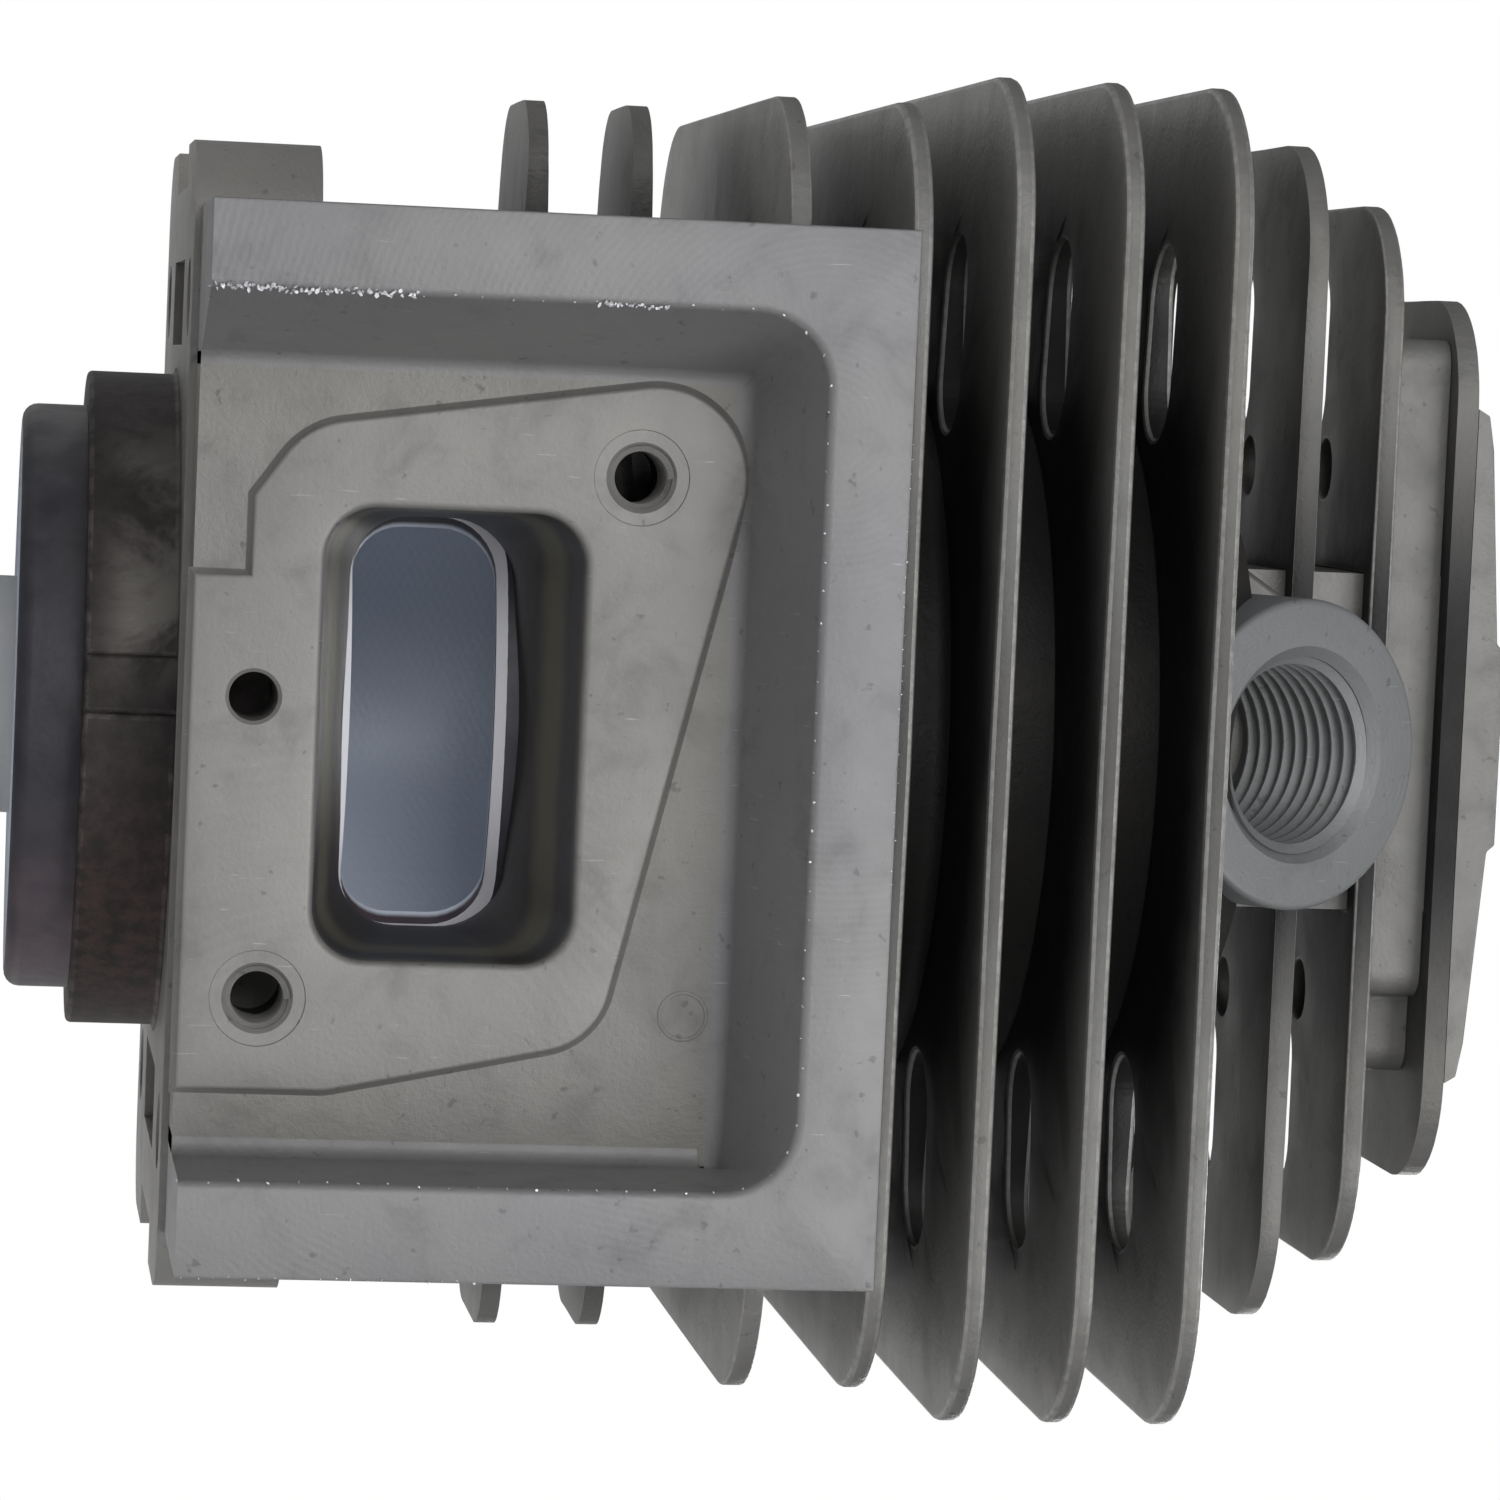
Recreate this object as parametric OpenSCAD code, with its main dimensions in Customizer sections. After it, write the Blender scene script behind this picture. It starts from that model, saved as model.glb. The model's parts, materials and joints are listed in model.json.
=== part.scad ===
// Finned cylinder with an integral head for a small two-stroke engine.
// Millimetres. +Z runs up the bore axis towards the head, the origin is on the
// bore axis at the crankcase gasket face, and the intake side faces -Y.

/* [Bore] */
// Bore diameter
bore_d = 38; // [36:0.5:40]
// Wall of the bore liner
liner_wall = 1.9; // [1.5:0.1:2.5]
// How far the liner's skirt hangs below the gasket face
skirt_drop = 10.8; // [8:0.1:16]
// Height of the liner's top edge above the gasket face
liner_top = 58; // [56:0.5:60]
// Wall of the cast spigot round the liner
spigot_wall = 2.5; // [1.5:0.1:3]
// How far the spigot hangs below the gasket face
spigot_drop = 6.3; // [3:0.1:7.5]
// Cast wall round the liner above the flange
barrel_wall = 4.1; // [3:0.1:5]

/* [Base flange] */
// Width of the flange along X
flange_w = 79; // [76:1:96]
// Depth of the flange along Y
flange_d = 48; // [46:1:60]
// Thickness of the flange
flange_t = 8.6; // [7:0.1:10]
// Corner radius of the flange
flange_r = 6; // [3:0.5:8]
// Depth of the shallow waist in each end of the flange
waist_depth = 3; // [1:0.5:3.5]
// Width of that waist
waist_w = 18; // [12:1:20]
// Base screw spacing along X
base_screw_x = 57.4; // [54:0.2:60]
// Base screw spacing along Y
base_screw_y = 36; // [34:0.5:37]
// Base screw clearance hole
base_screw_d = 5.5; // [5:0.1:6.5]
// Length of the driver slots through the fins
driver_slot_l = 13.7; // [8.5:0.1:14]
// Width of the driver slots through the fins
driver_slot_w = 8; // [7:0.1:9]

/* [Transfer ducts] */
// Width of each transfer passage along Y
transfer_w = 18; // [12:1:19]
// Depth of each transfer passage along X
transfer_d = 6; // [4:0.5:7]
// Wall of each transfer duct
transfer_wall = 2.5; // [2:0.1:3]
// Top of the transfer window in the bore
transfer_top = 36; // [34:0.5:37]
// Height of the transfer window in the bore
transfer_window_h = 9; // [6:0.5:12]

/* [Intake] */
// Width of the airbox rim along X
rim_w = 70; // [68:1:74]
// Distance of the rim's machined face from the bore axis
rim_face = 42.4; // [41:0.1:46]
// Lowest point of the rim above the gasket face
rim_low = 0.5; // [0:0.1:1.5]
// Highest point of the rim above the gasket face
rim_high = 46.6; // [46:0.1:48]
// Face width of the left rail
rail_left = 5.7; // [5:0.1:7]
// Face width of the right rail
rail_right = 6.4; // [5:0.1:7]
// Face width of the top rail
rail_top = 5.6; // [5:0.1:7]
// How much the left rail widens down to the floor
slope_left = 4.2; // [0:0.1:5]
// How much the top rail widens down to the floor
slope_top = 3.5; // [0:0.1:4]
// Radius of the recess's inner corners
recess_r = 5; // [2:0.5:6]
// Depth of the recess from the rim's face to the gasket pad
recess_depth = 11.3; // [8:0.1:12]
// Height of the gasket pad above the recess floor
pad_h = 0.7; // [0.4:0.1:1.5]
// Thickness of the recess floor
floor_t = 6.4; // [5:0.1:8]
// Height of the intake port's centre
port_z = 18; // [17:0.1:19]
// Width of the port mouth along X
port_w = 30.4; // [26:0.1:32]
// Height of the port mouth
port_h = 17.5; // [14:0.1:19]
// Corner radius of the port mouth
port_r = 3.5; // [2:0.1:5]
// Width of the intake window in the bore
window_w = 27; // [22:0.5:28]
// Height of the intake window in the bore
window_h = 10; // [8:0.5:13]
// Height of the intake window's centre
window_z = 17; // [15.5:0.5:18]
// Intake screw spacing along X
intake_screw_x = 35.8; // [34:0.1:37]
// Intake screw spacing along Z
intake_screw_z = 24.4; // [22:0.1:25]
// Core diameter of the intake screw threads
intake_screw_d = 4.2; // [3.8:0.1:4.5]
// Length of the intake screw bosses behind the floor
screw_boss_l = 5; // [3:0.5:6]
// Diameter of the intake screw bosses
screw_boss_d = 11; // [9:0.5:12]
// Impulse passage diameter
impulse_d = 3.3; // [2.5:0.1:4]
// Impulse passage, offset from the bore axis
impulse_x = -2.3; // [-4:0.1:4]
// Impulse passage, height above the gasket face
impulse_z = 4.8; // [4:0.1:5.5]

/* [Exhaust] */
// Distance of the exhaust face from the bore axis
exhaust_face = 40; // [39:0.5:46]
// Thickness of the exhaust flange
exhaust_t = 6; // [5:0.5:7]
// Width of the exhaust flange along X
exhaust_w = 58; // [56:1:62]
// Height of the exhaust flange
exhaust_h = 22; // [20:0.5:23]
// Height of the exhaust port's centre
exhaust_z = 38.4; // [37:0.2:39]
// Width of the exhaust port
exhaust_port_w = 26; // [20:0.5:28]
// Height of the exhaust port
exhaust_port_h = 14; // [10:0.5:15]
// Wall of the exhaust duct
exhaust_wall = 4; // [3:0.5:4]
// Exhaust screw spacing along X
exhaust_screw_x = 45; // [42:0.5:47]
// Core diameter of the exhaust screw threads
exhaust_screw_d = 4.2; // [3.8:0.1:5.2]

/* [Fins] */
// Pitch of the barrel fins
fin_pitch = 7.4; // [7.3:0.05:7.6]
// Height of the lowest fin's top face
fin_first = 25.3; // [25:0.1:26]
// Thickness of a fin
fin_t = 1.7; // [1.4:0.1:2]
// Half width of the three widest fins along X
fin_half_w = 46; // [44.5:0.5:55]
// Half width of the fins beside the rim
fin_side_half_w = 44; // [42.5:0.5:48]
// Distance of the fins' front edges from the bore axis
fin_front = 39; // [37:0.5:41]
// Distance of the fins' rear edges from the bore axis
fin_rear = 34; // [31:0.5:34]
// Corner radius of the large fins
fin_corner = 11; // [6:0.5:13]
// Half depth of the two small side fins along Y
ear_half = 10.5; // [10:0.5:12]
// Height of the lowest head fin's top face
head_first = 77.8; // [77:0.1:79]
// Pitch of the head fins
head_pitch = 5.9; // [5.6:0.1:6.2]
// How far the head fins' front edges stand before the bore axis
head_front = 3; // [2:0.5:5]
// Diameter of the two drilled holes through the head fins
head_hole_d = 4.6; // [3:0.1:6]

/* [Head] */
// Radius of the combustion chamber
chamber_r = 15; // [13:0.5:16]
// Height of the head dome's shoulder
dome_shoulder = 70.3; // [70.2:0.1:71]
// Radius of the dome's top
dome_top_r = 19; // [17:0.5:20]
// Half width of the core behind the head fins
core_half_w = 12.5; // [11:0.5:20]
// Depth of that core behind the bore axis
core_depth = 20; // [16:0.5:24]
// How far the solid web between the two top fins is set back from their edges
slab_recess = 2.3; // [1:0.1:3]
// Height of the crowned cap plate
cap_t = 2.9; // [2:0.1:4]
// Half width of the cap plate
cap_half_w = 25; // [20:0.5:30]
// Width of the flat land on the cap plate
cap_land = 14.4; // [10:0.2:20]

/* [Spark plug] */
// Diameter of the plug seat
plug_seat_d = 22.2; // [20:0.1:23]
// Core diameter of the plug thread
plug_thread_d = 12.8; // [10:0.1:13]
// Tilt of the plug axis from the bore axis
plug_tilt = 60; // [56:1:64]
// Distance of the seat's centre in front of the bore axis
plug_y = 18; // [17:0.5:19]
// Height of the seat's centre
plug_z = 79.8; // [79:0.1:80.5]

/* [Hidden] */
$fn = 64;
far = 200;

liner_r = bore_d / 2 + liner_wall;
spigot_r = liner_r + spigot_wall;
collar_step = 0.5;
collar_r = spigot_r + collar_step;
barrel_r = liner_r + barrel_wall;

pad_face = rim_face - recess_depth;
floor_face = pad_face - pad_h;
floor_back = floor_face - floor_t;
floor_left = -rim_w / 2 + rail_left + slope_left;
floor_right = rim_w / 2 - rail_right;
floor_high = rim_high - rail_top - slope_top;
pad_screw_r = 6.2;
pad_bend_r = 5.2;
pad_lobe_r = 5.8;
pad_lobe_in = 2.7;
pad_drop = 5.8;
pad_inset = 2;
impulse_notch = 10.4;
notch_h = 3.8;
duct_wall = 3.5;
duct_half_w = port_w / 2 + duct_wall;
duct_half_h = port_h / 2 + duct_wall;
flange_front = floor_back;
flange_back = flange_d - flange_front;

transfer_gap = 0.5;
transfer_in = barrel_r + transfer_gap;
transfer_out = transfer_in + transfer_d;
duct_out = transfer_out + transfer_wall;
duct_half_y = transfer_w / 2 + transfer_wall;
duct_top = transfer_top + transfer_wall;

exhaust_back = exhaust_face - exhaust_t;
exhaust_half_w = exhaust_port_w / 2 + exhaust_wall;
exhaust_half_h = exhaust_port_h / 2 + exhaust_wall;

fin_high = [for (i = [0:6]) fin_first + i * fin_pitch];
head_high = [for (i = [0:3]) head_first + i * head_pitch];
dome_top = head_first - fin_t;
core_front = slab_recess - head_front;
chamber_z = liner_top - 1.5;
boss_l = 26;
plug_hole_l = 24;
head_hole_x = 20;
head_hole_y = 13;
side_fin_setback = 1;
channel_half_w = 2;
channel_depth = 1.2;
cap_overhang = 2;
slab_left = 30;
slab_right = 19;
slab_step = 25;
slab_step_depth = 3;
slab_overlap = 10;
slab_corner = 2;
exhaust_port_r = 4;
exhaust_duct_r = 5;
exhaust_flange_r = 6;
ear_corner = 6;

// [half width, rear edge, corner radius] of each head fin, lowest first
HEAD_FINS = [[46, 32, 9], [44, 30, 9], [39.8, 28, 9], [33, 26, 8]];

// ---------- shared outlines and cutters ----------

// Rectangle from corner a to corner b with round corners.
module round_rect(a, b, r) {
    translate([a[0] + r, a[1]]) square([b[0] - a[0] - 2 * r, b[1] - a[1]]);
    translate([a[0], a[1] + r]) square([b[0] - a[0], b[1] - a[1] - 2 * r]);
    for (x = [a[0] + r, b[0] - r], y = [a[1] + r, b[1] - r])
        translate([x, y]) circle(r);
}

// Slot of full length l and width w along X.
module slot_outline(l, w) {
    square([l - w, w], center = true);
    for (s = [-1, 1])
        translate([s * (l - w) / 2, 0]) circle(d = w);
}

// Box between two corners.
module box(a, b) {
    translate(a) cube(b - a);
}

// Outline in X-Z, extruded along Y from y0 to y1.
module along_y(y0, y1) {
    translate([0, y1, 0]) rotate([90, 0, 0]) linear_extrude(y1 - y0) children();
}

// Outline in Y-Z, extruded along X from x0 to x1.
module along_x(x0, x1) {
    translate([x0, 0, 0]) rotate([90, 0, 90]) linear_extrude(x1 - x0) children();
}

module each_base_screw() {
    for (sx = [-1, 1], sy = [-1, 1])
        translate([sx * base_screw_x / 2, sy * base_screw_y / 2, 0]) children();
}

module driver_slots() {
    each_base_screw()
        linear_extrude(far) slot_outline(driver_slot_l, driver_slot_w);
}

module liner_core() {
    translate([0, 0, -far / 2]) cylinder(r = liner_r, h = far / 2 + liner_top);
}

module barrel_core() {
    cylinder(r = barrel_r, h = dome_shoulder);
}

module intake_screw_at() {
    for (s = [-1, 1])
        translate([s * intake_screw_x / 2, 0, port_z - s * intake_screw_z / 2])
            children();
}

module drill_y(d, y0, y1) {
    along_y(y0, y1) circle(d = d);
}

// The intake passage narrows from the port mouth to the bore window.
module intake_passage() {
    intersection() {
        along_x(-far / 2, far / 2)
            polygon([
                [-pad_face - 1, port_z - port_h / 2],
                [-pad_face - 1, port_z + port_h / 2],
                [-pad_face, port_z + port_h / 2],
                [-liner_r, window_z + window_h / 2],
                [0, window_z + window_h / 2],
                [0, window_z - window_h / 2],
                [-liner_r, window_z - window_h / 2],
                [-pad_face, port_z - port_h / 2]
            ]);
        linear_extrude(far)
            polygon([
                [-port_w / 2, -pad_face - 1],
                [port_w / 2, -pad_face - 1],
                [port_w / 2, -pad_face],
                [window_w / 2, -liner_r + 2],
                [window_w / 2, 0],
                [-window_w / 2, 0],
                [-window_w / 2, -liner_r + 2],
                [-port_w / 2, -pad_face]
            ]);
    }
}

module port_mouth() {
    along_y(-pad_face - 1, -floor_back + 1)
        translate([0, port_z])
            round_rect([-port_w / 2, -port_h / 2], [port_w / 2, port_h / 2], port_r);
}

module exhaust_passage() {
    along_y(0, exhaust_face + 1)
        translate([0, exhaust_z])
            round_rect([-exhaust_port_w / 2, -exhaust_port_h / 2],
                       [exhaust_port_w / 2, exhaust_port_h / 2], exhaust_port_r);
}

module exhaust_duct_block(y1) {
    along_y(0, y1)
        translate([0, exhaust_z])
            round_rect([-exhaust_half_w, -exhaust_half_h],
                       [exhaust_half_w, exhaust_half_h], exhaust_duct_r);
}

module transfer_windows() {
    box([-transfer_in - 1, -transfer_w / 2, transfer_top - transfer_window_h],
        [transfer_in + 1, transfer_w / 2, transfer_top]);
}

// Passage beside the barrel on the side s, from the gasket face to the window.
module transfer_passage(s) {
    x0 = s > 0 ? transfer_in : -transfer_out;
    box([x0, -transfer_w / 2, -1], [x0 + transfer_d, transfer_w / 2, transfer_top]);
}

module transfer_outer(s, low, high) {
    x0 = s > 0 ? 0 : -duct_out;
    box([x0, -duct_half_y, low], [x0 + duct_out, duct_half_y, high]);
}

module plug_frame() {
    translate([0, -plug_y, plug_z]) rotate([plug_tilt, 0, 0]) children();
}

module plug_hole() {
    plug_frame() translate([0, 0, -plug_hole_l]) cylinder(d = plug_thread_d, h = plug_hole_l + 6);
}

module dome_outer() {
    cylinder(r = barrel_r, h = dome_shoulder);
    translate([0, 0, dome_shoulder])
        cylinder(r1 = barrel_r, r2 = dome_top_r, h = dome_top - dome_shoulder);
}

module core_block() {
    box([-core_half_w, core_front, dome_top], [core_half_w, core_depth, head_high[3]]);
}

// Boss of the spark plug, with its flat seat at the outer end.
module boss_outer() {
    plug_frame() translate([0, 0, -boss_l]) cylinder(d = plug_seat_d, h = boss_l);
}

// ---------- liner, spigot, flange, barrel ----------

module bore_liner() {
    color("slategray")
    difference() {
        translate([0, 0, -skirt_drop]) cylinder(r = liner_r, h = skirt_drop + liner_top);
        translate([0, 0, -skirt_drop - 1]) cylinder(d = bore_d, h = skirt_drop + liner_top + 2);
        intake_passage();
        exhaust_passage();
        transfer_windows();
    }
}

// Shallow channel down the spigot that the impulse passage opens into.
module impulse_channel() {
    box([impulse_x - channel_half_w, -collar_r - 1, -spigot_drop - 1],
        [impulse_x + channel_half_w, -spigot_r + channel_depth, impulse_z + impulse_d / 2]);
}

module spigot() {
    color("dimgray")
    difference() {
        union() {
            translate([0, 0, -spigot_drop]) cylinder(r = spigot_r, h = spigot_drop);
            cylinder(r = collar_r, h = flange_t);
        }
        liner_core();
        impulse_channel();
    }
}

module flange_outline() {
    difference() {
        round_rect([-flange_w / 2, -flange_front], [flange_w / 2, flange_back], flange_r);
        for (s = [-1, 1])
            translate([s * flange_w / 2, 0])
                square([2 * waist_depth, waist_w], center = true);
    }
}

module base_flange() {
    color("darkgray")
    difference() {
        linear_extrude(flange_t) flange_outline();
        translate([0, 0, -1]) cylinder(r = collar_r, h = flange_t + 2);
        each_base_screw() translate([0, 0, -1]) cylinder(d = base_screw_d, h = flange_t + 2);
        for (s = [-1, 1])
            transfer_passage(s);
        translate([impulse_x, 0, impulse_z]) drill_y(impulse_d, -flange_front - 1, -collar_r + 1);
        translate([intake_screw_x / 2, 0, port_z - intake_screw_z / 2])
            drill_y(intake_screw_d, -flange_front - 1, -flange_front + screw_boss_l);
    }
}

module barrel() {
    color("gray")
    difference() {
        translate([0, 0, flange_t]) cylinder(r = barrel_r, h = liner_top - flange_t);
        box([-far, -far, 0], [far, -floor_back, rim_high]);
        liner_core();
        intake_passage();
        exhaust_passage();
        transfer_windows();
    }
}

module transfer_duct(s) {
    color("gray")
    difference() {
        transfer_outer(s, flange_t, duct_top);
        barrel_core();
        transfer_passage(s);
        transfer_windows();
    }
}

module transfer_duct_left() { transfer_duct(-1); }
module transfer_duct_right() { transfer_duct(1); }

// ---------- intake side ----------

module rim_rail_left() {
    color("silver")
    translate([0, 0, rim_low]) linear_extrude(rim_high - rim_low)
        polygon([
            [-rim_w / 2, -rim_face],
            [-rim_w / 2 + rail_left, -rim_face],
            [floor_left, -pad_face],
            [floor_left, -floor_back],
            [-rim_w / 2, -floor_back]
        ]);
}

module rim_rail_right() {
    color("silver")
    box([floor_right, -rim_face, rim_low], [rim_w / 2, -floor_back, rim_high]);
}

// Fillet that rounds an inner corner of the recess, on the side s.
module corner_fillet(s, x) {
    arc = [for (a = [0:9:90]) [x - s * recess_r * (1 - sin(a)), -recess_r * (1 - cos(a))]];
    along_y(-rim_face, -pad_face)
        translate([0, rim_high - rail_top])
            polygon(concat([[x, 0]], arc));
}

module rim_rail_top() {
    color("silver")
    difference() {
        union() {
            along_x(-rim_w / 2 + rail_left, floor_right)
                polygon([
                    [-rim_face, rim_high],
                    [-rim_face, rim_high - rail_top],
                    [-pad_face, floor_high],
                    [-floor_back, floor_high],
                    [-floor_back, rim_high]
                ]);
            corner_fillet(-1, -rim_w / 2 + rail_left);
            corner_fillet(1, floor_right);
        }
        rim_rail_left();
        rim_rail_right();
    }
}

module intake_holes() {
    port_mouth();
    intake_screw_at() drill_y(intake_screw_d, -pad_face - 1, -floor_back + 1);
    translate([impulse_x, 0, impulse_z]) drill_y(impulse_d, -pad_face - 1, -floor_back + 1);
}

module intake_floor() {
    color("darkgray")
    difference() {
        box([floor_left, -floor_face, rim_low], [floor_right, -floor_back, floor_high]);
        intake_holes();
    }
}

// The raised gasket pad: a leaning shape round the port and both screws.
module pad_outline() {
    upper = [-intake_screw_x / 2, port_z + intake_screw_z / 2];
    lower = [intake_screw_x / 2, port_z - intake_screw_z / 2];
    foot = [-impulse_notch, rim_low];
    difference() {
        hull() {
            translate(upper + [0, 1]) circle(pad_screw_r);
            translate([lower[0] - pad_inset, upper[1] - pad_drop]) circle(pad_bend_r);
            translate(lower + [1, pad_screw_r - pad_inset]) circle(pad_bend_r);
            translate(foot) square([lower[0] + pad_screw_r - foot[0], 1]);
            translate([upper[0] + pad_lobe_in, lower[1] + pad_bend_r]) circle(pad_lobe_r);
        }
        translate([-far - impulse_notch, rim_low - 1]) square([far, notch_h + 1]);
        translate([-far / 2, rim_low - far]) square(far);
    }
}

module intake_pad() {
    color("lightgray")
    difference() {
        along_y(-pad_face, -floor_face) pad_outline();
        intake_holes();
    }
}

module intake_duct() {
    color("gray")
    difference() {
        box([-duct_half_w, -floor_back, flange_t],
            [duct_half_w, 0, port_z + duct_half_h]);
        barrel_core();
        intake_passage();
        port_mouth();
    }
}

module intake_screw_bosses() {
    color("gray")
    difference() {
        translate([-intake_screw_x / 2, 0, port_z + intake_screw_z / 2])
            drill_y(screw_boss_d, -floor_back, -floor_back + screw_boss_l);
        translate([-intake_screw_x / 2, 0, port_z + intake_screw_z / 2])
            drill_y(intake_screw_d, -floor_back - 1, -floor_back + screw_boss_l + 1);
        box([-duct_half_w, -floor_back - 1, 0], [duct_half_w, 0, port_z + duct_half_h]);
    }
}

// ---------- exhaust side ----------

module exhaust_duct() {
    color("gray")
    difference() {
        exhaust_duct_block(exhaust_back);
        barrel_core();
        exhaust_passage();
    }
}

module exhaust_flange() {
    color("silver")
    difference() {
        along_y(exhaust_back, exhaust_face)
            translate([0, exhaust_z])
                round_rect([-exhaust_w / 2, -exhaust_h / 2],
                           [exhaust_w / 2, exhaust_h / 2], exhaust_flange_r);
        exhaust_passage();
        for (s = [-1, 1])
            translate([s * exhaust_screw_x / 2, 0, exhaust_z])
                drill_y(exhaust_screw_d, exhaust_back - 1, exhaust_face + 1);
    }
}

// ---------- fins ----------

// Everything a barrel fin is cut round.
module fin_keepouts() {
    barrel_core();
    exhaust_duct_block(exhaust_back);
    for (s = [-1, 1])
        transfer_outer(s, flange_t, duct_top);
    driver_slots();
}

module side_fin(i) {
    color("gray")
    difference() {
        translate([0, 0, fin_high[i] - fin_t]) linear_extrude(fin_t)
            round_rect([-fin_side_half_w, -ear_half], [fin_side_half_w, ear_half], ear_corner);
        fin_keepouts();
        box([-duct_half_w, -far, 0], [duct_half_w, 0, port_z + duct_half_h]);
    }
}

module large_fin(low, half_w, front) {
    color("gray")
    difference() {
        translate([0, 0, low]) linear_extrude(fin_t)
            round_rect([-half_w, -front], [half_w, fin_rear], fin_corner);
        fin_keepouts();
    }
}

module cooling_fin_1() { side_fin(0); }
module cooling_fin_2() { side_fin(1); }

module cooling_fin_3() {
    difference() {
        large_fin(fin_high[2] - fin_t, fin_side_half_w, fin_front - side_fin_setback);
        color("gray") box([-rim_w / 2, -far, 0], [rim_w / 2, -floor_back, rim_high]);
    }
}

module cooling_fin_4() { large_fin(rim_high, fin_side_half_w, fin_front - side_fin_setback); }
module cooling_fin_5() { large_fin(fin_high[4] - fin_t, fin_half_w, fin_front); }
module cooling_fin_6() { large_fin(fin_high[5] - fin_t, fin_half_w, fin_front); }
module cooling_fin_7() { large_fin(fin_high[6] - fin_t, fin_half_w, fin_front); }

// ---------- head ----------

module head_dome() {
    color("gray")
    difference() {
        translate([0, 0, liner_top])
            intersection() {
                translate([0, 0, -liner_top]) dome_outer();
                cylinder(r = far, h = far);
            }
        translate([0, 0, chamber_z]) sphere(r = chamber_r);
        plug_hole();
    }
}

module head_core() {
    color("gray")
    difference() {
        core_block();
        plug_hole();
    }
}

module plug_boss() {
    color("silver")
    difference() {
        boss_outer();
        plug_hole();
        dome_outer();
        box([-far, -far, -far], [far, far, fin_high[6]]);
        box([-far, core_front, -far], [far, far, far]);
    }
}

module head_fin(i) {
    shape = HEAD_FINS[i];
    color("gray")
    difference() {
        translate([0, 0, head_high[i] - fin_t]) linear_extrude(fin_t)
            round_rect([-shape[0], -head_front], [shape[0], shape[1]], shape[2]);
        core_block();
        boss_outer();
        driver_slots();
        if (i < 3)
            for (s = [-1, 1])
                translate([s * head_hole_x, head_hole_y, 0]) cylinder(d = head_hole_d, h = far);
    }
}

module head_fin_1() { head_fin(0); }
module head_fin_2() { head_fin(1); }
module head_fin_3() { head_fin(2); }
module head_fin_4() { head_fin(3); }

// Solid web that fills the gap between the two highest fins.
module head_slab() {
    color("gray")
    difference() {
        translate([0, 0, head_high[2]]) linear_extrude(head_pitch - fin_t)
            union() {
                round_rect([-slab_left, core_front], [slab_right, core_depth], slab_corner);
                round_rect([slab_right - slab_overlap, core_front + slab_step_depth],
                           [slab_step, core_depth], slab_corner);
            }
        core_block();
        driver_slots();
    }
}

// Crowned plate that closes the head, with a flat land across its middle.
module head_cap() {
    color("gray")
    along_y(-head_front, core_depth + cap_overhang)
        translate([0, head_high[3]])
            polygon([
                [-cap_half_w, 0],
                [-cap_half_w + 0.5, cap_t * 0.3],
                [-cap_half_w + 3, cap_t * 0.45],
                [-cap_land / 2 - 0.5, cap_t * 0.8],
                [-cap_land / 2, cap_t],
                [cap_land / 2, cap_t],
                [cap_land / 2 + 0.5, cap_t * 0.8],
                [cap_half_w - 3, cap_t * 0.45],
                [cap_half_w - 0.5, cap_t * 0.3],
                [cap_half_w, 0]
            ]);
}

bore_liner();
spigot();
base_flange();
barrel();
transfer_duct_left();
transfer_duct_right();
rim_rail_left();
rim_rail_right();
rim_rail_top();
intake_floor();
intake_pad();
intake_duct();
intake_screw_bosses();
exhaust_duct();
exhaust_flange();
cooling_fin_1();
cooling_fin_2();
cooling_fin_3();
cooling_fin_4();
cooling_fin_5();
cooling_fin_6();
cooling_fin_7();
head_dome();
head_core();
plug_boss();
head_fin_1();
head_fin_2();
head_fin_3();
head_fin_4();
head_slab();
head_cap();
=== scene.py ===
"""Looks of a finned two-stroke cylinder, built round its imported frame. Metres, +Z up the bore."""

import json
import math

import bmesh
import bpy
from mathutils import Matrix, Vector
from mathutils.bvhtree import BVHTree
from mathutils.geometry import delaunay_2d_cdt


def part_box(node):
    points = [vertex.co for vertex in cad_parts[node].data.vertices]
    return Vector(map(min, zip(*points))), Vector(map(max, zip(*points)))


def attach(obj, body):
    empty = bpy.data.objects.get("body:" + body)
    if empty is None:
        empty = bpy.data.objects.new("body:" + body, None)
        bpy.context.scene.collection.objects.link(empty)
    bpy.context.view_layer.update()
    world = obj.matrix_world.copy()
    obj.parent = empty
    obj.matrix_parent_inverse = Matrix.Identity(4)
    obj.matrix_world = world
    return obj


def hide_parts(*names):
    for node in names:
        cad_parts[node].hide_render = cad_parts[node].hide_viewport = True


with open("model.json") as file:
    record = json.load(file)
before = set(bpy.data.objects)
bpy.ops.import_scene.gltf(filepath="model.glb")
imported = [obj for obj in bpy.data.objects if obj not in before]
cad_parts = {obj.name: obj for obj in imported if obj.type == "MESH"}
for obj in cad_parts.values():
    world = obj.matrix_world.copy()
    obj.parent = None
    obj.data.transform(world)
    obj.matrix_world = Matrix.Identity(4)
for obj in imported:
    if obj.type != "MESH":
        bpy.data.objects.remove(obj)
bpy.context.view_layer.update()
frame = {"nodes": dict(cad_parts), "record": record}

MM = 0.001
MOUNTS = {m["name"]: m for m in frame["record"]["mounts"]}


def mount_mm(name, size):
    """One size of a mount, in metres."""
    return MOUNTS[name]["dims"][size] * MM


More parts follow.
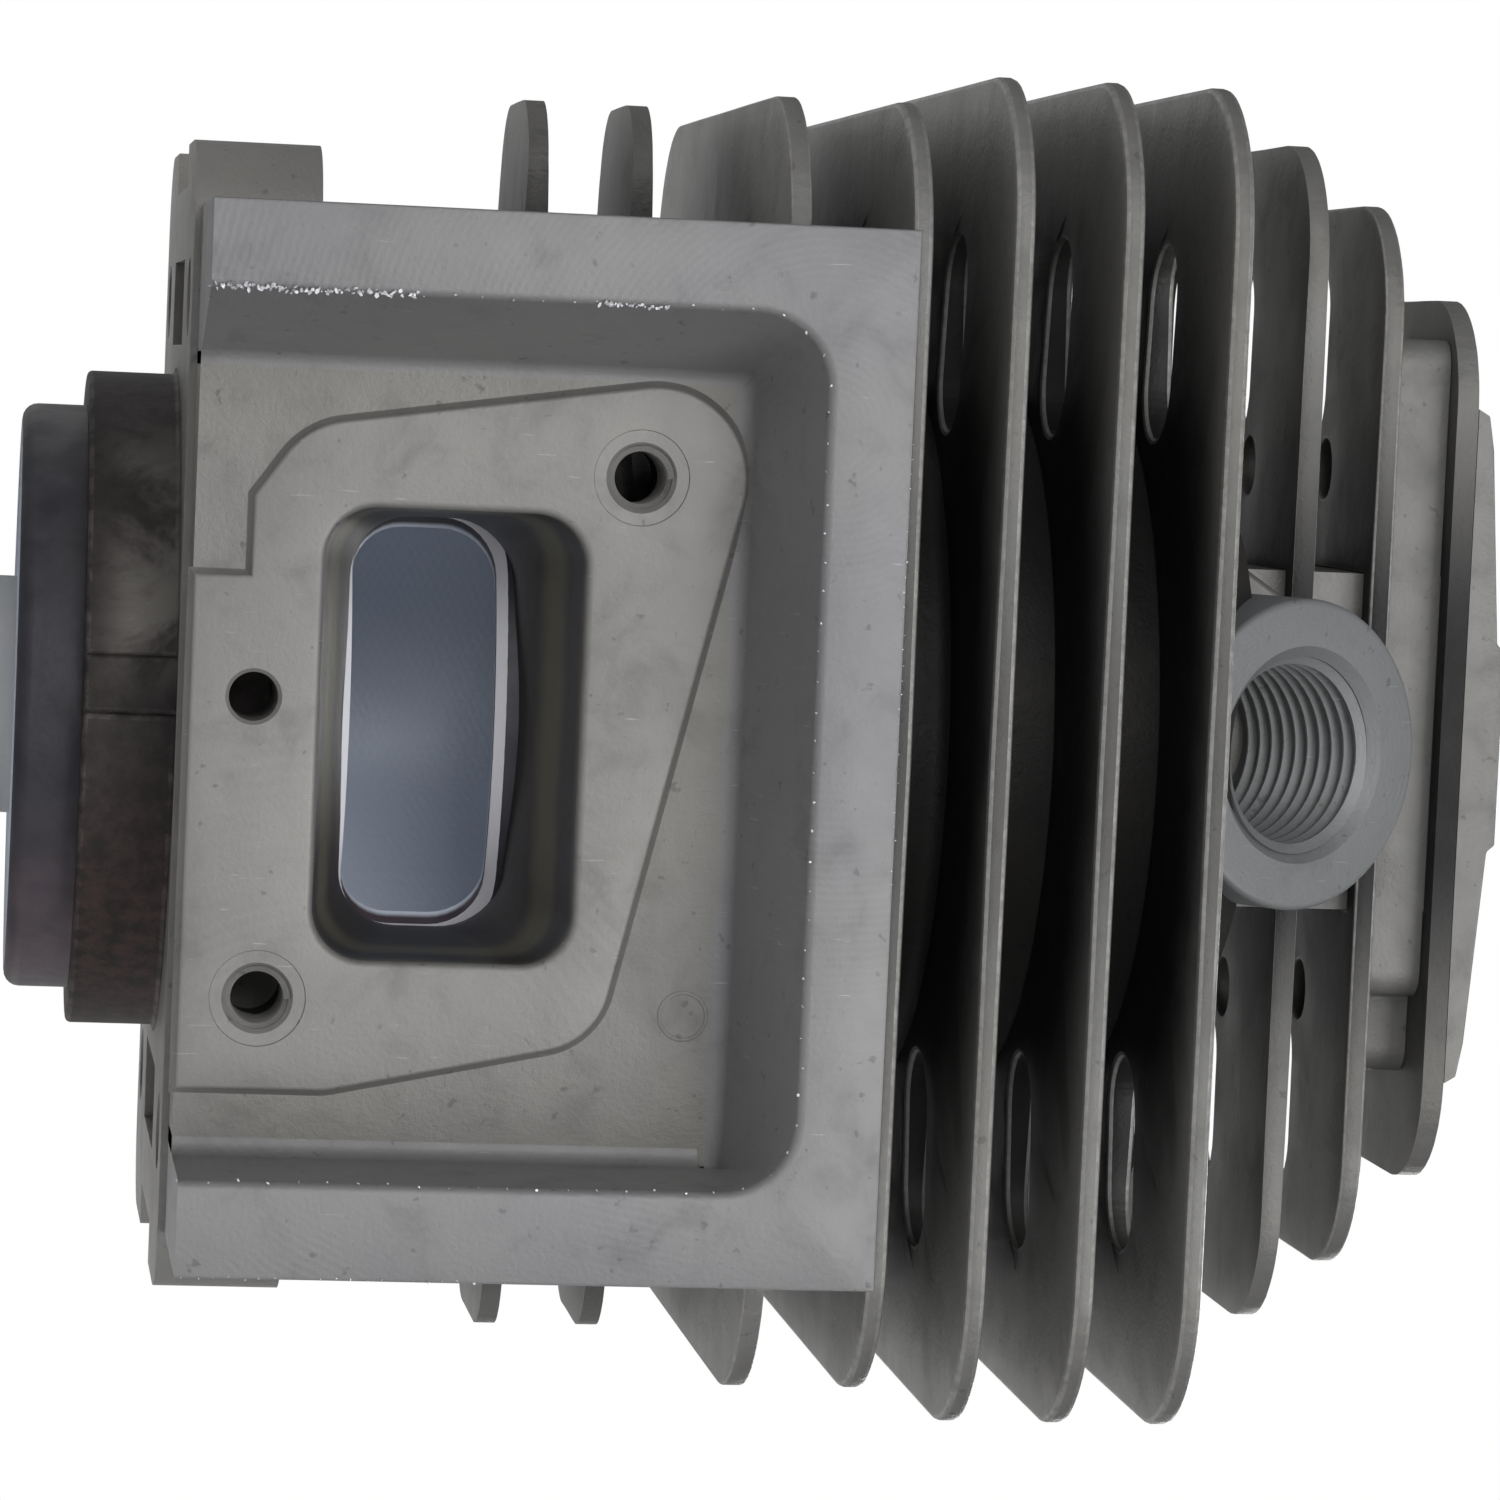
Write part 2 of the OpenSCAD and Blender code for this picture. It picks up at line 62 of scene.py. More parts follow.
# ---------- sizes that the frame gives ----------
BORE_R = mount_mm("bore", "r_mm")
LINER_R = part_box("bore_liner")[1].x
SKIRT_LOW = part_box("bore_liner")[0].z
LINER_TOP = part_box("bore_liner")[1].z
RIM_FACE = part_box("rim_rail_left")[0].y
RIM_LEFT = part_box("rim_rail_left")[0].x
RIM_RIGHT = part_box("rim_rail_right")[1].x
RIM_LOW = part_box("rim_rail_left")[0].z
RIM_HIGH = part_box("rim_rail_left")[1].z
FLOOR_LOW, FLOOR_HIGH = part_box("intake_floor")
PAD_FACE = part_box("intake_pad")[0].y
PLUG_SEAT = Vector(MOUNTS["spark_plug"]["pos_m"])
PLUG_AXIS = Vector(MOUNTS["spark_plug"]["axis"]).normalized()
PLUG_CORE_R = mount_mm("spark_plug", "r_mm")
PLUG_TILT = math.acos(PLUG_AXIS.z)

# ---------- finishing sizes, in millimetres ----------
CAST_ROUND = 0.45
FIN_ROUND = 0.35
FIN_TIP_T = 1.4
FIN_ROOT_T = 2.3
HEAD_FIN_ROOT_T = 1.6
RAIL_FACE = {"left": 5.7, "right": 6.4, "top": 5.6}
RECESS_R = 5.0
RIM_INNER_ROUND = 0.7
FOOT_FILLET = 1.2
ROOT_FILLET = 1.4
RIM_OUTER_ROUND = 0.25
TOUCH = 0.03

# ---------- camera: a long lens that looks into the intake recess, bore axis lying across the view ----------
CAMERA_PLACE = (-0.02447, -0.39935, -0.01467)
CAMERA_TURN_DEG = (-166.448, -81.595, -107.514)
CAMERA_LENS = 132.6
CAMERA_SENSOR = 36.0


def new_object(name, data):
    obj = bpy.data.objects.new(name, data)
    bpy.context.scene.collection.objects.link(obj)
    return obj


def make_camera():
    data = bpy.data.cameras.new("camera")
    data.lens = CAMERA_LENS
    data.sensor_width = CAMERA_SENSOR
    data.clip_start = 0.01
    camera = new_object("camera", data)
    camera.location = CAMERA_PLACE
    camera.rotation_euler = [math.radians(a) for a in CAMERA_TURN_DEG]
    bpy.context.scene.camera = camera


make_camera()


# ---------- node trees ----------
class Value:
    """A socket whose arithmetic adds Math nodes to its tree."""

    def __init__(self, graph, socket):
        self.graph, self.socket = graph, socket

    def __add__(self, other):
        return self.graph.math("ADD", self, other)

    def __radd__(self, other):
        return self.graph.math("ADD", other, self)

    def __sub__(self, other):
        return self.graph.math("SUBTRACT", self, other)

    def __rsub__(self, other):
        return self.graph.math("SUBTRACT", other, self)

    def __mul__(self, other):
        return self.graph.math("MULTIPLY", self, other)

    def __rmul__(self, other):
        return self.graph.math("MULTIPLY", other, self)

    def __truediv__(self, other):
        return self.graph.math("DIVIDE", self, other)

    def clamp(self):
        return self.graph.math("MINIMUM", self.graph.math("MAXIMUM", self, 0.0), 1.0)


class Graph:
    """Adds nodes to a tree: type, settings first, then values or links of its sockets."""

    def __init__(self, tree):
        self.tree = tree

    def node(self, kind, settings=None, out=0, **inputs):
        made = self.tree.nodes.new(kind)
        for name, value in (settings or {}).items():
            setattr(made, name, value)
        for name, value in inputs.items():
            self.feed(made.inputs[name.replace("_", " ")], value)
        return Value(self, made.outputs[out]) if made.outputs else made

    def feed(self, socket, value):
        if isinstance(value, Value):
            self.tree.links.new(value.socket, socket)
        elif value is not None:
            socket.default_value = value

    def math(self, operation, *inputs, kind="ShaderNodeMath"):
        made = self.tree.nodes.new(kind)
        made.operation = operation
        for socket, value in zip(made.inputs, inputs):
            self.feed(socket, value)
        return Value(self, made.outputs[0])

    def length(self, a, b):
        return self.math("SQRT", a * a + b * b)

    def noise(self, coords, scale, detail=4.0, roughness=0.55, distortion=0.0):
        return self.node("ShaderNodeTexNoise", {"noise_dimensions": "3D"}, 0, Vector=coords, Scale=scale,
                         Detail=detail, Roughness=roughness, Distortion=distortion)

    def ramp(self, value, low, high):
        """0 at low and below, 1 at high and above."""
        return self.node("ShaderNodeMapRange", {"interpolation_type": "SMOOTHSTEP"}, 0, Value=value,
                         From_Min=low, From_Max=high)

    def tint(self, factor, a, b, blend="MIX"):
        made = self.tree.nodes.new("ShaderNodeMix")
        made.data_type = "RGBA"
        made.blend_type = blend
        for index, value in ((0, factor), (6, a), (7, b)):
            if isinstance(value, tuple):
                value = (*value, 1.0)
            self.feed(made.inputs[index], value)
        return Value(self, made.outputs[2])

    def stretched(self, scale, turn=(0, 0, 0), place=(0, 0, 0)):
        coords = self.node("ShaderNodeTexCoord", None, "Object")
        return self.node("ShaderNodeMapping", None, 0, Vector=coords, Location=place, Rotation=turn,
                         Scale=scale)

    def xyz(self, vector):
        made = self.tree.nodes.new("ShaderNodeSeparateXYZ")
        self.feed(made.inputs[0], vector)
        return [Value(self, s) for s in made.outputs]

    def attribute(self, name):
        return self.node("ShaderNodeAttribute", {"attribute_name": name}, "Fac")


def new_material(name):
    """An empty material, its graph and its Object coordinates."""
    material = bpy.data.materials.new(name)
    material.use_nodes = True
    material.node_tree.nodes.clear()
    graph = Graph(material.node_tree)
    return material, graph, graph.node("ShaderNodeTexCoord", None, "Object")


def close_material(graph, colour, roughness, metallic, heights):
    """Principled shader and bumps; heights is a list of (height, depth in metres, strength)."""
    normal = None
    for height, depth, strength in heights:
        normal = graph.node("ShaderNodeBump", None, 0, Height=height, Distance=depth, Strength=strength,
                            Normal=normal)
    shader = graph.node("ShaderNodeBsdfPrincipled", None, 0, Base_Color=colour, Roughness=roughness,
                        Metallic=metallic, Normal=normal)
    graph.node("ShaderNodeOutputMaterial", None, 0, Surface=shader)


def scaled(colour, by, most=math.inf):
    return tuple(min(most, c * by) for c in colour)


def cast_skin(graph, base, patina, coords, gap_shade=None):
    """Colour and grain that every cast surface shares: clouds, patina, specks, painted shade deep between the
    fins, and worn edges with a painted highlight.
    gap_shade is (radius still black, radius that is out of the shade) round the bore axis, in millimetres."""
    clouds = graph.noise(coords, 55.0, 3.0)
    blotches = graph.noise(coords, 210.0, 5.0, 0.6, 0.4)
    grain = graph.noise(coords, 2600.0, 3.0, 0.7)
    specks = graph.ramp(graph.noise(coords, 900.0, 2.0, 0.6), 0.66, 0.74)
    colour = graph.tint(graph.ramp(clouds, 0.3, 0.7), base, patina)
    dark = scaled(base, 0.62)
    colour = graph.tint(graph.ramp(blotches, 0.5, 0.8) * 0.55, colour, dark)
    colour = graph.tint(specks * 0.5, colour, scaled(base, 0.4))
    edge = graph.attribute("wear_and_highlight")
    # Painted shade: surfaces near the bore axis, deep in the gaps between the fins, are tinted near black.
    if gap_shade:
        x, y, z = graph.xyz(coords)
        radius = graph.length(x, y) + (blotches - 0.5) * 0.006
        out_of_shade = (graph.ramp(radius, gap_shade[0] * MM, gap_shade[1] * MM) + edge).clamp()
        colour = graph.tint(out_of_shade, GAP_SHADE, colour)
    edge_highlight_tone = scaled(base, 1.45, 1.0)
    # Edges are painted lighter: real wear, with a painted highlight where they catch the light.
    wear_and_highlight = edge * (graph.ramp(graph.noise(coords, 1500.0, 3.0), 0.3, 0.75) * 0.6 + 0.2)
    colour = graph.tint(wear_and_highlight, colour, edge_highlight_tone)
    return colour, blotches, grain, wear_and_highlight


def cast_material(name, base, patina, roughness=0.56, metallic=0.4, depth=0.00012, gap_shade=None):
    material, graph, coords = new_material(name)
    colour, blotches, grain, wear_and_highlight = cast_skin(graph, base, patina, coords, gap_shade)
    rough = roughness + (blotches - 0.5) * 0.25 - wear_and_highlight * 0.12
    orange_peel = graph.noise(coords, 420.0, 2.0, 0.5)
    close_material(graph, colour, rough, metallic, [(orange_peel, depth * 2.2, 0.35), (grain, depth, 0.5)])
    return material


def machined_material(name, base, patina, ring_centre, ring_pitch=0.00055):
    """Milled metal: faint arcs left by the cutter over the cast colour, and short bright scratches."""
    material, graph, coords = new_material(name)
    colour, blotches, grain, wear_and_highlight = cast_skin(graph, base, patina, coords)
    x, y, z = graph.xyz(coords)
    from_x = x - ring_centre[0]
    from_z = z - ring_centre[1]
    distance = graph.length(from_x, from_z)
    wander = graph.noise(coords, 90.0, 2.0) * 0.0012
    arcs = graph.math("SINE", (distance + wander) * (2 * math.pi / ring_pitch))
    patchy = graph.ramp(graph.noise(coords, 75.0, 2.0), 0.45, 0.7)
    arcs = arcs * patchy
    streaks = graph.noise(graph.stretched((3800.0, 400.0, 260.0), (0, 0.35, 0)), 1.0, 2.0, 0.6)
    scratches = graph.ramp(streaks, 0.7, 0.76)
    colour = graph.tint((arcs * 0.05 + 0.05).clamp(), colour, scaled(base, 1.5))
    colour = graph.tint(scratches * 0.35, colour, scaled(base, 2.2, 1.0))
    rough = 0.55 + (blotches - 0.5) * 0.2 - scratches * 0.15
    close_material(graph, colour, rough, 0.45, [(arcs, 0.000015, 0.25), (grain, 0.00008, 0.45)])
    return material


def honed_material(name, inside, skirt, pale_tone, pinkish_tone):
    """Bore lining: smooth, bluish and cross-hatched inside, with painted light towards +X; dull, dark and
    patchy outside, paler towards both ends.
    """
    material, graph, coords = new_material(name)
    x, y, z = graph.xyz(coords)
    radius = graph.length(x, y)
    along = graph.math("ARCTAN2", y, x) * BORE_R
    waver = graph.noise(coords, 700.0, 2.0) * 6.0
    hatch = [graph.math("SINE", (z + along * lean) * 9000.0 + waver) for lean in (0.5, -0.5)]
    lines = hatch[0] * 0.5 + hatch[1] * 0.5
    is_inside = 1.0 - graph.ramp(radius, BORE_R + 0.1 * MM, BORE_R + 0.6 * MM)
    # Painted light: the inside is tinted lighter towards +X.
    painted_light_ramp = graph.ramp(x, -0.006, 0.012)
    inner = graph.tint(painted_light_ramp, inside, scaled(inside, 1.35))
    inner = graph.tint((lines * 0.06 + 0.06).clamp(), inner, scaled(inside, 1.5, 1.0))
    clouds = graph.noise(coords, 90.0, 4.0, 0.6)
    blotches = graph.noise(coords, 260.0, 5.0, 0.65, 0.5)
    outer = graph.tint(graph.ramp(blotches, 0.4, 0.75), skirt, scaled(skirt, 0.6))
    # Paler towards the upper end, mottled.
    upper_end = (1.0 - graph.ramp(x, -0.018, -0.006)) * graph.ramp(clouds, 0.35, 0.6)
    outer = graph.tint(upper_end * 0.8, outer, pale_tone)
    # Pinkish towards the lower end, mottled.
    lower_end = graph.ramp(x, 0.004, 0.017) * graph.ramp(clouds, 0.25, 0.55)
    outer = graph.tint(lower_end * 0.8, outer, pinkish_tone)
    colour = graph.tint(is_inside, outer, inner)
    wear_and_highlight = graph.attribute("wear_and_highlight")
    # Chamfers painted near white: bare machined metal with a painted highlight.
    colour = graph.tint(wear_and_highlight, colour, (0.92, 0.92, 0.98))
    rough = 0.5 - is_inside * 0.12 + (blotches - 0.5) * 0.2
    grain = graph.noise(coords, 1800.0)
    close_material(graph, colour, rough, 0.15, [(lines * is_inside, 0.00001, 0.3), (grain, 0.00007, 0.5)])
    return material


def spigot_material(name, dark, pale_tone, pinkish_tone):
    """Burnt oil on the spigot: nearly black, with pale mottled patches towards the upper side and a pinkish
    tone towards the lower one.
    """
    material, graph, coords = new_material(name)
    x, y, z = graph.xyz(coords)
    clouds = graph.noise(coords, 130.0, 5.0, 0.65, 0.6)
    fine = graph.noise(coords, 700.0, 4.0, 0.65)
    upper = (1.0 - graph.ramp(x, -0.006, 0.0)) * graph.ramp(x, -0.022, -0.015)
    upper = upper * graph.ramp(z, -0.0062, -0.003)
    pale_upper = (upper * graph.ramp(clouds, 0.36, 0.62) + graph.ramp(clouds, 0.62, 0.8) * 0.35).clamp()
    colour = graph.tint(graph.ramp(fine, 0.35, 0.7), dark, scaled(dark, 1.7))
    colour = graph.tint(pale_upper, colour, pale_tone)
    low = graph.ramp(x, 0.0, 0.016) * graph.ramp(fine, 0.3, 0.7)
    colour = graph.tint(low * 0.6, colour, pinkish_tone)
    # Edges painted paler: wear, with a painted highlight.
    colour = graph.tint(graph.attribute("wear_and_highlight") * graph.ramp(fine, 0.4, 0.7) * 0.5, colour, pale_tone)
    close_material(graph, colour, 0.62 - pale_upper * 0.1, 0.35, [(clouds, 0.0003, 0.4), (fine, 0.00015, 0.5)])
    return material


def passage_material(name, dark, light_band_tone):
    """Oily cast passage: brown-grey, with a painted band of light half way down its depth and painted light
    at its mouth.
    """
    material, graph, coords = new_material(name)
    x, y, z = graph.xyz(coords)
    clouds = graph.noise(coords, 150.0, 3.0)
    depth = y + (clouds - 0.5) * 0.0015
    # Painted light: a band half way down the passage and the mouth are tinted lighter.
    lit = graph.ramp(depth, -0.0272, -0.0256) * (1.0 - graph.ramp(depth, -0.0246, -0.0228))
    mouth_light = 1.0 - graph.ramp(depth, -0.0300, -0.0288)
    colour = graph.tint((lit + mouth_light).clamp(), dark, light_band_tone)
    fine = graph.noise(coords, 900.0, 3.0)
    close_material(graph, colour, 0.45, 0.35, [(clouds, 0.0002, 0.3), (fine, 0.0001, 0.4)])
    return material


# Near-black colour of the painted shade deep between the fins.
GAP_SHADE = (0.011, 0.010, 0.011)
CAST = cast_material("die_cast_skin", (0.215, 0.212, 0.205), (0.245, 0.238, 0.222))
# Fin skins carry painted shade near the barrel, deep in the gaps between the fins.
FIN_SKIN = cast_material("gap_shaded_fins", (0.190, 0.188, 0.180), (0.160, 0.156, 0.146), gap_shade=(32.0, 47.0))
HEAD_FIN_SKIN = cast_material("gap_shaded_head_fins", (0.190, 0.188, 0.180), (0.160, 0.156, 0.146),
                              gap_shade=(8.0, 30.0))
HEAD_SKIN = cast_material("head_casting", (0.200, 0.198, 0.192), (0.225, 0.220, 0.210))
# Near-black casting: painted shade for the barrel and head dome at the bottom of the fin gaps; also used for
# the intake screw bosses.
CAST_DARK = cast_material("shade_darkened_casting", (0.030, 0.028, 0.028), (0.040, 0.037, 0.034))
BURNT = spigot_material("burnt_spigot", (0.024, 0.019, 0.019), (0.130, 0.120, 0.110), (0.085, 0.048, 0.042))
MILLED_RIM = machined_material("milled_rim", (0.215, 0.215, 0.222), (0.245, 0.242, 0.240), (-0.022, 0.041))
MILLED_PAD = machined_material("milled_pad", (0.235, 0.230, 0.222), (0.260, 0.254, 0.244), (0.030, 0.010),
                               0.0009)
MILLED_SEAT = machined_material("milled_seat", (0.230, 0.236, 0.240), (0.255, 0.260, 0.262), (0.0, 0.080),
                                0.0004)
# Burr flakes: bright torn metal with a painted glint, far lighter than the milled rim.
BURR = machined_material("burr_metal_with_glint", (0.72, 0.72, 0.75), (0.85, 0.85, 0.88), (0.0, 0.0))
HONED = honed_material("honed_lining", (0.62, 0.67, 0.76), (0.036, 0.035, 0.045), (0.115, 0.112, 0.118),
                       (0.150, 0.110, 0.130))
OILY = passage_material("oily_passage", (0.052, 0.046, 0.046), (0.120, 0.112, 0.082))


# ---------- mesh helpers ----------
def finish_piece(obj, material, nodes=(), smooth_deg=32.0):
    """Sharp edges by angle, material, body, and the CAD nodes that the piece stands for."""
    mesh = obj.data
    mesh.materials.clear()
    mesh.materials.append(material)
    for polygon in mesh.polygons:
        polygon.use_smooth = True
    mesh.set_sharp_from_angle(angle=math.radians(smooth_deg))
    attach(obj, "root")
    if nodes:
        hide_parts(*nodes)
    return obj


def object_from(name, bm):
    bmesh.ops.remove_doubles(bm, verts=bm.verts, dist=0.5e-6)
    bmesh.ops.recalc_face_normals(bm, faces=bm.faces)
    return new_object(name, mesh_from(name, bm))


def mesh_from(name, bm):
    mesh = bpy.data.meshes.new(name)
    bm.to_mesh(mesh)
    bm.free()
    return mesh


def bmesh_from(mesh):
    bm = bmesh.new()
    bm.from_mesh(mesh)
    return bm


def wire(name, paths, closed=False):
    """Object of bare edges along each path of points."""
    bm = bmesh.new()
    for path in paths:
        verts = [bm.verts.new(p) for p in path]
        for a, b in zip(verts, verts[1:] + (verts[:1] if closed else [])):
            bm.edges.new((a, b))
    return new_object(name, mesh_from(name, bm))


def cad_copy(node):
    """The CAD node's solid as a clean bmesh: doubles merged, flat faces joined."""
    bm = bmesh_from(frame["nodes"][node].data)
    bmesh.ops.remove_doubles(bm, verts=bm.verts, dist=1e-6)
    bmesh.ops.dissolve_limit(bm, angle_limit=math.radians(0.4), verts=bm.verts, edges=bm.edges)
    return bm


def surface_tree(mesh):
    bm = bmesh_from(mesh)
    tree = BVHTree.FromBMesh(bm)
    bm.free()
    return tree


NEIGHBOURS = {name: surface_tree(node.data) for name, node in frame["nodes"].items()}


def touches_neighbour(point, own):
    return any(name != own and tree.find_nearest(point, TOUCH * MM)[0] is not None
               for name, tree in NEIGHBOURS.items())


def soften(bm, own, width, segments=3, least_deg=28.0):
    """Rounds the edges that no neighbour touches and marks the rounding, which the materials paint lighter:
    wear, with a painted highlight.
    """
    wear_and_highlight = bm.faces.layers.float.new("wear_and_highlight")
    free = []
    for edge in bm.edges:
        if len(edge.link_faces) != 2 or edge.calc_face_angle() < math.radians(least_deg):
            continue
        a, b = edge.verts[0].co, edge.verts[1].co
        if not any(touches_neighbour(a.lerp(b, t), own) for t in (0.02, 0.25, 0.5, 0.75, 0.98)):
            free.append(edge)
    made = bmesh.ops.bevel(bm, geom=free, offset=width, segments=segments, profile=0.5, affect="EDGES",
                           clamp_overlap=True, harden_normals=False)
    for face in made["faces"]:
        face[wear_and_highlight] = 1.0
    return bm


def soft_copy(node, material, width=CAST_ROUND, segments=3, cut=()):
    """A CAD node with its free edges rounded as a casting's are."""
    obj = object_from(node + "_cast", soften(cad_copy(node), node, width * MM, segments))
    carve(obj, cut)
    return finish_piece(obj, material, [node])


def carve(obj, cutters):
    """Cuts obj with each cutter in turn. The cutters stay for the caller to discard."""
    for cutter in cutters:
        modifier = obj.modifiers.new("carve", "BOOLEAN")
        modifier.operation = "DIFFERENCE"
        modifier.solver = "EXACT"
        modifier.object = cutter
        apply_modifiers(obj)


def apply_modifiers(obj):
    """Replaces the mesh by its evaluated form and removes the modifiers."""
    bpy.context.view_layer.update()
    evaluated = obj.evaluated_get(bpy.context.evaluated_depsgraph_get())
    mesh = bpy.data.meshes.new_from_object(evaluated)
    obj.modifiers.clear()
    obj.data = mesh


def discard(*objs):
    for obj in objs:
        bpy.data.objects.remove(obj)


def loft(bm, loops, close_ends=True):
    """Skin between closed loops of equal length, with flat ends."""
    rows = [[bm.verts.new(p) for p in loop] for loop in loops]
    count = len(rows[0])
    for low, high in zip(rows, rows[1:]):
        for i in range(count):
            j = (i + 1) % count
            bm.faces.new((low[i], low[j], high[j], high[i]))
    if close_ends:
        bm.faces.new(rows[0][::-1])
        bm.faces.new(rows[-1])
    return rows


def lathe(profile, steps=96, place=Matrix.Identity(4)):
    """Closed (radius, height) outline turned about Z, then put in place."""
    bm = bmesh.new()
    rings = []
    for k in range(steps):
        a = 2 * math.pi * k / steps
        rings.append([bm.verts.new(place @ Vector((r * math.cos(a), r * math.sin(a), h)))
                      for r, h in profile])
    for k in range(steps):
        here, there = rings[k], rings[(k + 1) % steps]
        for i in range(len(profile)):
            j = (i + 1) % len(profile)
            if profile[i][0] > 0 or profile[j][0] > 0:
                bm.faces.new((here[i], there[i], there[j], here[j]))
    bmesh.ops.remove_doubles(bm, verts=bm.verts, dist=1e-7)
    return bm


def arc(centre, radius, start_deg, end_deg, steps):
    """Points of an arc, both ends included."""
    turns = [math.radians(start_deg + (end_deg - start_deg) * k / steps) for k in range(steps + 1)]
    return [(centre[0] + radius * math.cos(a), centre[1] + radius * math.sin(a)) for a in turns]


def round_rect(centre, width, height, radius, steps=8):
    """Anticlockwise rounded rectangle."""
    hw, hh = width / 2 - radius, height / 2 - radius
    corners = ((hw, hh, 0), (-hw, hh, 90), (-hw, -hh, 180), (hw, -hh, 270))
    return [p for x, y, a in corners for p in arc((centre[0] + x, centre[1] + y), radius, a, a + 90, steps)]


def cad_loops(node, axis, side):
    """Outline loops of a CAD node's outermost flat face, on the low or high side along an axis."""
    bm = cad_copy(node)
    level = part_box(node)[0 if side < 0 else 1][axis]
    flat = [f for f in bm.faces if abs(f.normal[axis] - side) < 0.01
            and abs(f.calc_center_median()[axis] - level) < 0.01 * MM]
    edges = {e for f in flat for e in f.edges if sum(g in flat for g in e.link_faces) == 1}
    ways = {}
    for e in edges:
        for v in e.verts:
            ways.setdefault(v, []).append(e)
    loops = []
    while edges:
        edge = min(edges, key=lambda e: (round(e.verts[0].co.x, 6), round(e.verts[0].co.y, 6), e.index))
        edges.discard(edge)
        start, here = edge.verts[0], edge.verts[1]
        loop = [start.co.copy()]
        while here is not start:
            loop.append(here.co.copy())
            edge = next(e for e in ways[here] if e in edges)
            edges.discard(edge)
            here = edge.other_vert(here)
        loops.append(loop)
    bm.free()
    return loops


def signed_area(loop):
    return sum(a[0] * b[1] - b[0] * a[1] for a, b in zip(loop, loop[1:] + loop[:1])) / 2


def inset(loop, distance):
    """Moves each corner of an anticlockwise loop inwards by distance."""
    out = []
    for k, here in enumerate(loop):
        back = Vector(here) - Vector(loop[k - 1])
        ahead = Vector(loop[(k + 1) % len(loop)]) - Vector(here)
        na = Vector((-back.y, back.x)).normalized()
        nb = Vector((-ahead.y, ahead.x)).normalized()
        middle = (na + nb).normalized()
        reach = distance / max(0.4, middle.dot(na))
        out.append((here[0] + middle.x * reach, here[1] + middle.y * reach))
    return out


def plate(borders, place):
    """Solid between closed borders, the outside first. Each border is (loop, profile). The profile is a
    list of (inset, height) from the face down to the back, and an inset moves the border into the metal.
    place maps (x, y, height) to a point."""
    bm = bmesh.new()
    ends = [[], []]
    for index, (loop, profile) in enumerate(borders):
        if (signed_area(loop) > 0) != (index == 0):
            loop = loop[::-1]
        flat = [inset(loop, d) for d, _ in profile]
        rows = [[bm.verts.new(place(x, y, h)) for x, y in ring] for ring, (_, h) in zip(flat, profile)]
        for low, high in zip(rows, rows[1:]):
            for i in range(len(loop)):
                j = (i + 1) % len(loop)
                bm.faces.new((low[i], low[j], high[j], high[i]))
        ends[0].append((flat[0], rows[0]))
        ends[1].append((flat[-1], rows[-1]))
    for end in ends:
        points = [Vector(p) / MM for flat, _ in end for p in flat]
        verts = [v for _, row in end for v in row]
        edges, start = [], 0
        for flat, _ in end:
            edges += [(start + i, start + (i + 1) % len(flat)) for i in range(len(flat))]
            start += len(flat)
        spots, _, faces, sources, _, _ = delaunay_2d_cdt(points, edges, [], 1, 1e-6)
        level = borders[0][1][0 if end is ends[0] else -1][1]
        corner = [verts[source[0]] if source else bm.verts.new(place(spot.x * MM, spot.y * MM, level))
                  for spot, source in zip(spots, sources)]
        for face in faces:
            middle = sum((spots[i] for i in face), Vector((0, 0))) / len(face) * MM
            if all(inside(middle, flat) == (k == 0) for k, (flat, _) in enumerate(end)):
                bm.faces.new([corner[i] for i in face])
    return bm


def inside(point, loop):
    crossings = False
    for a, b in zip(loop, loop[1:] + loop[:1]):
        if (a[1] > point[1]) != (b[1] > point[1]):
            if point[0] < (b[0] - a[0]) * (point[1] - a[1]) / (b[1] - a[1]) + a[0]:
                crossings = not crossings
    return crossings


def rounding(radius, steps=3):
    """Profile of a rounded edge, from the face down its side."""
    turns = [math.pi / 2 * k / steps for k in range(steps + 1)]
    return [(radius * (1 - math.sin(a)), -radius * (1 - math.cos(a))) for a in turns]


def to_metres(profile):
    return [(a * MM, b * MM) for a, b in profile]


# ---------- Geometry Nodes ----------
def input_ids(tree):
    return {i.name: i.identifier for i in tree.interface.items_tree
            if i.item_type == "SOCKET" and i.in_out == "INPUT"}


def new_geometry_tree(name, inputs):
    tree = bpy.data.node_groups.new(name, "GeometryNodeTree")
    tree.interface.new_socket("Geometry", in_out="INPUT", socket_type="NodeSocketGeometry")
    for label, kind, value in inputs:
        socket = tree.interface.new_socket(label, in_out="INPUT", socket_type="NodeSocket" + kind)
        if value is not None:
            socket.default_value = value
    tree.interface.new_socket("Geometry", in_out="OUTPUT", socket_type="NodeSocketGeometry")
    graph = Graph(tree)
    source = tree.nodes.new("NodeGroupInput")
    given = {s.name: Value(graph, s) for s in source.outputs if s.name}
    return tree, graph, given


def close_geometry_tree(graph, geometry, material):
    geometry = graph.node("GeometryNodeRealizeInstances", None, 0, Geometry=geometry)
    geometry = graph.node("GeometryNodeSetMaterial", None, 0, Geometry=geometry, Material=material)
    graph.node("NodeGroupOutput", None, 0, Geometry=geometry)


def grow(obj, tree, values):
    """Runs a tree on obj with the named inputs set."""
    modifier = obj.modifiers.new(tree.name, "NODES")
    modifier.node_group = tree
    ids = input_ids(tree)
    for label, value in values.items():
        modifier[ids[label]] = value
    apply_modifiers(obj)
    return obj


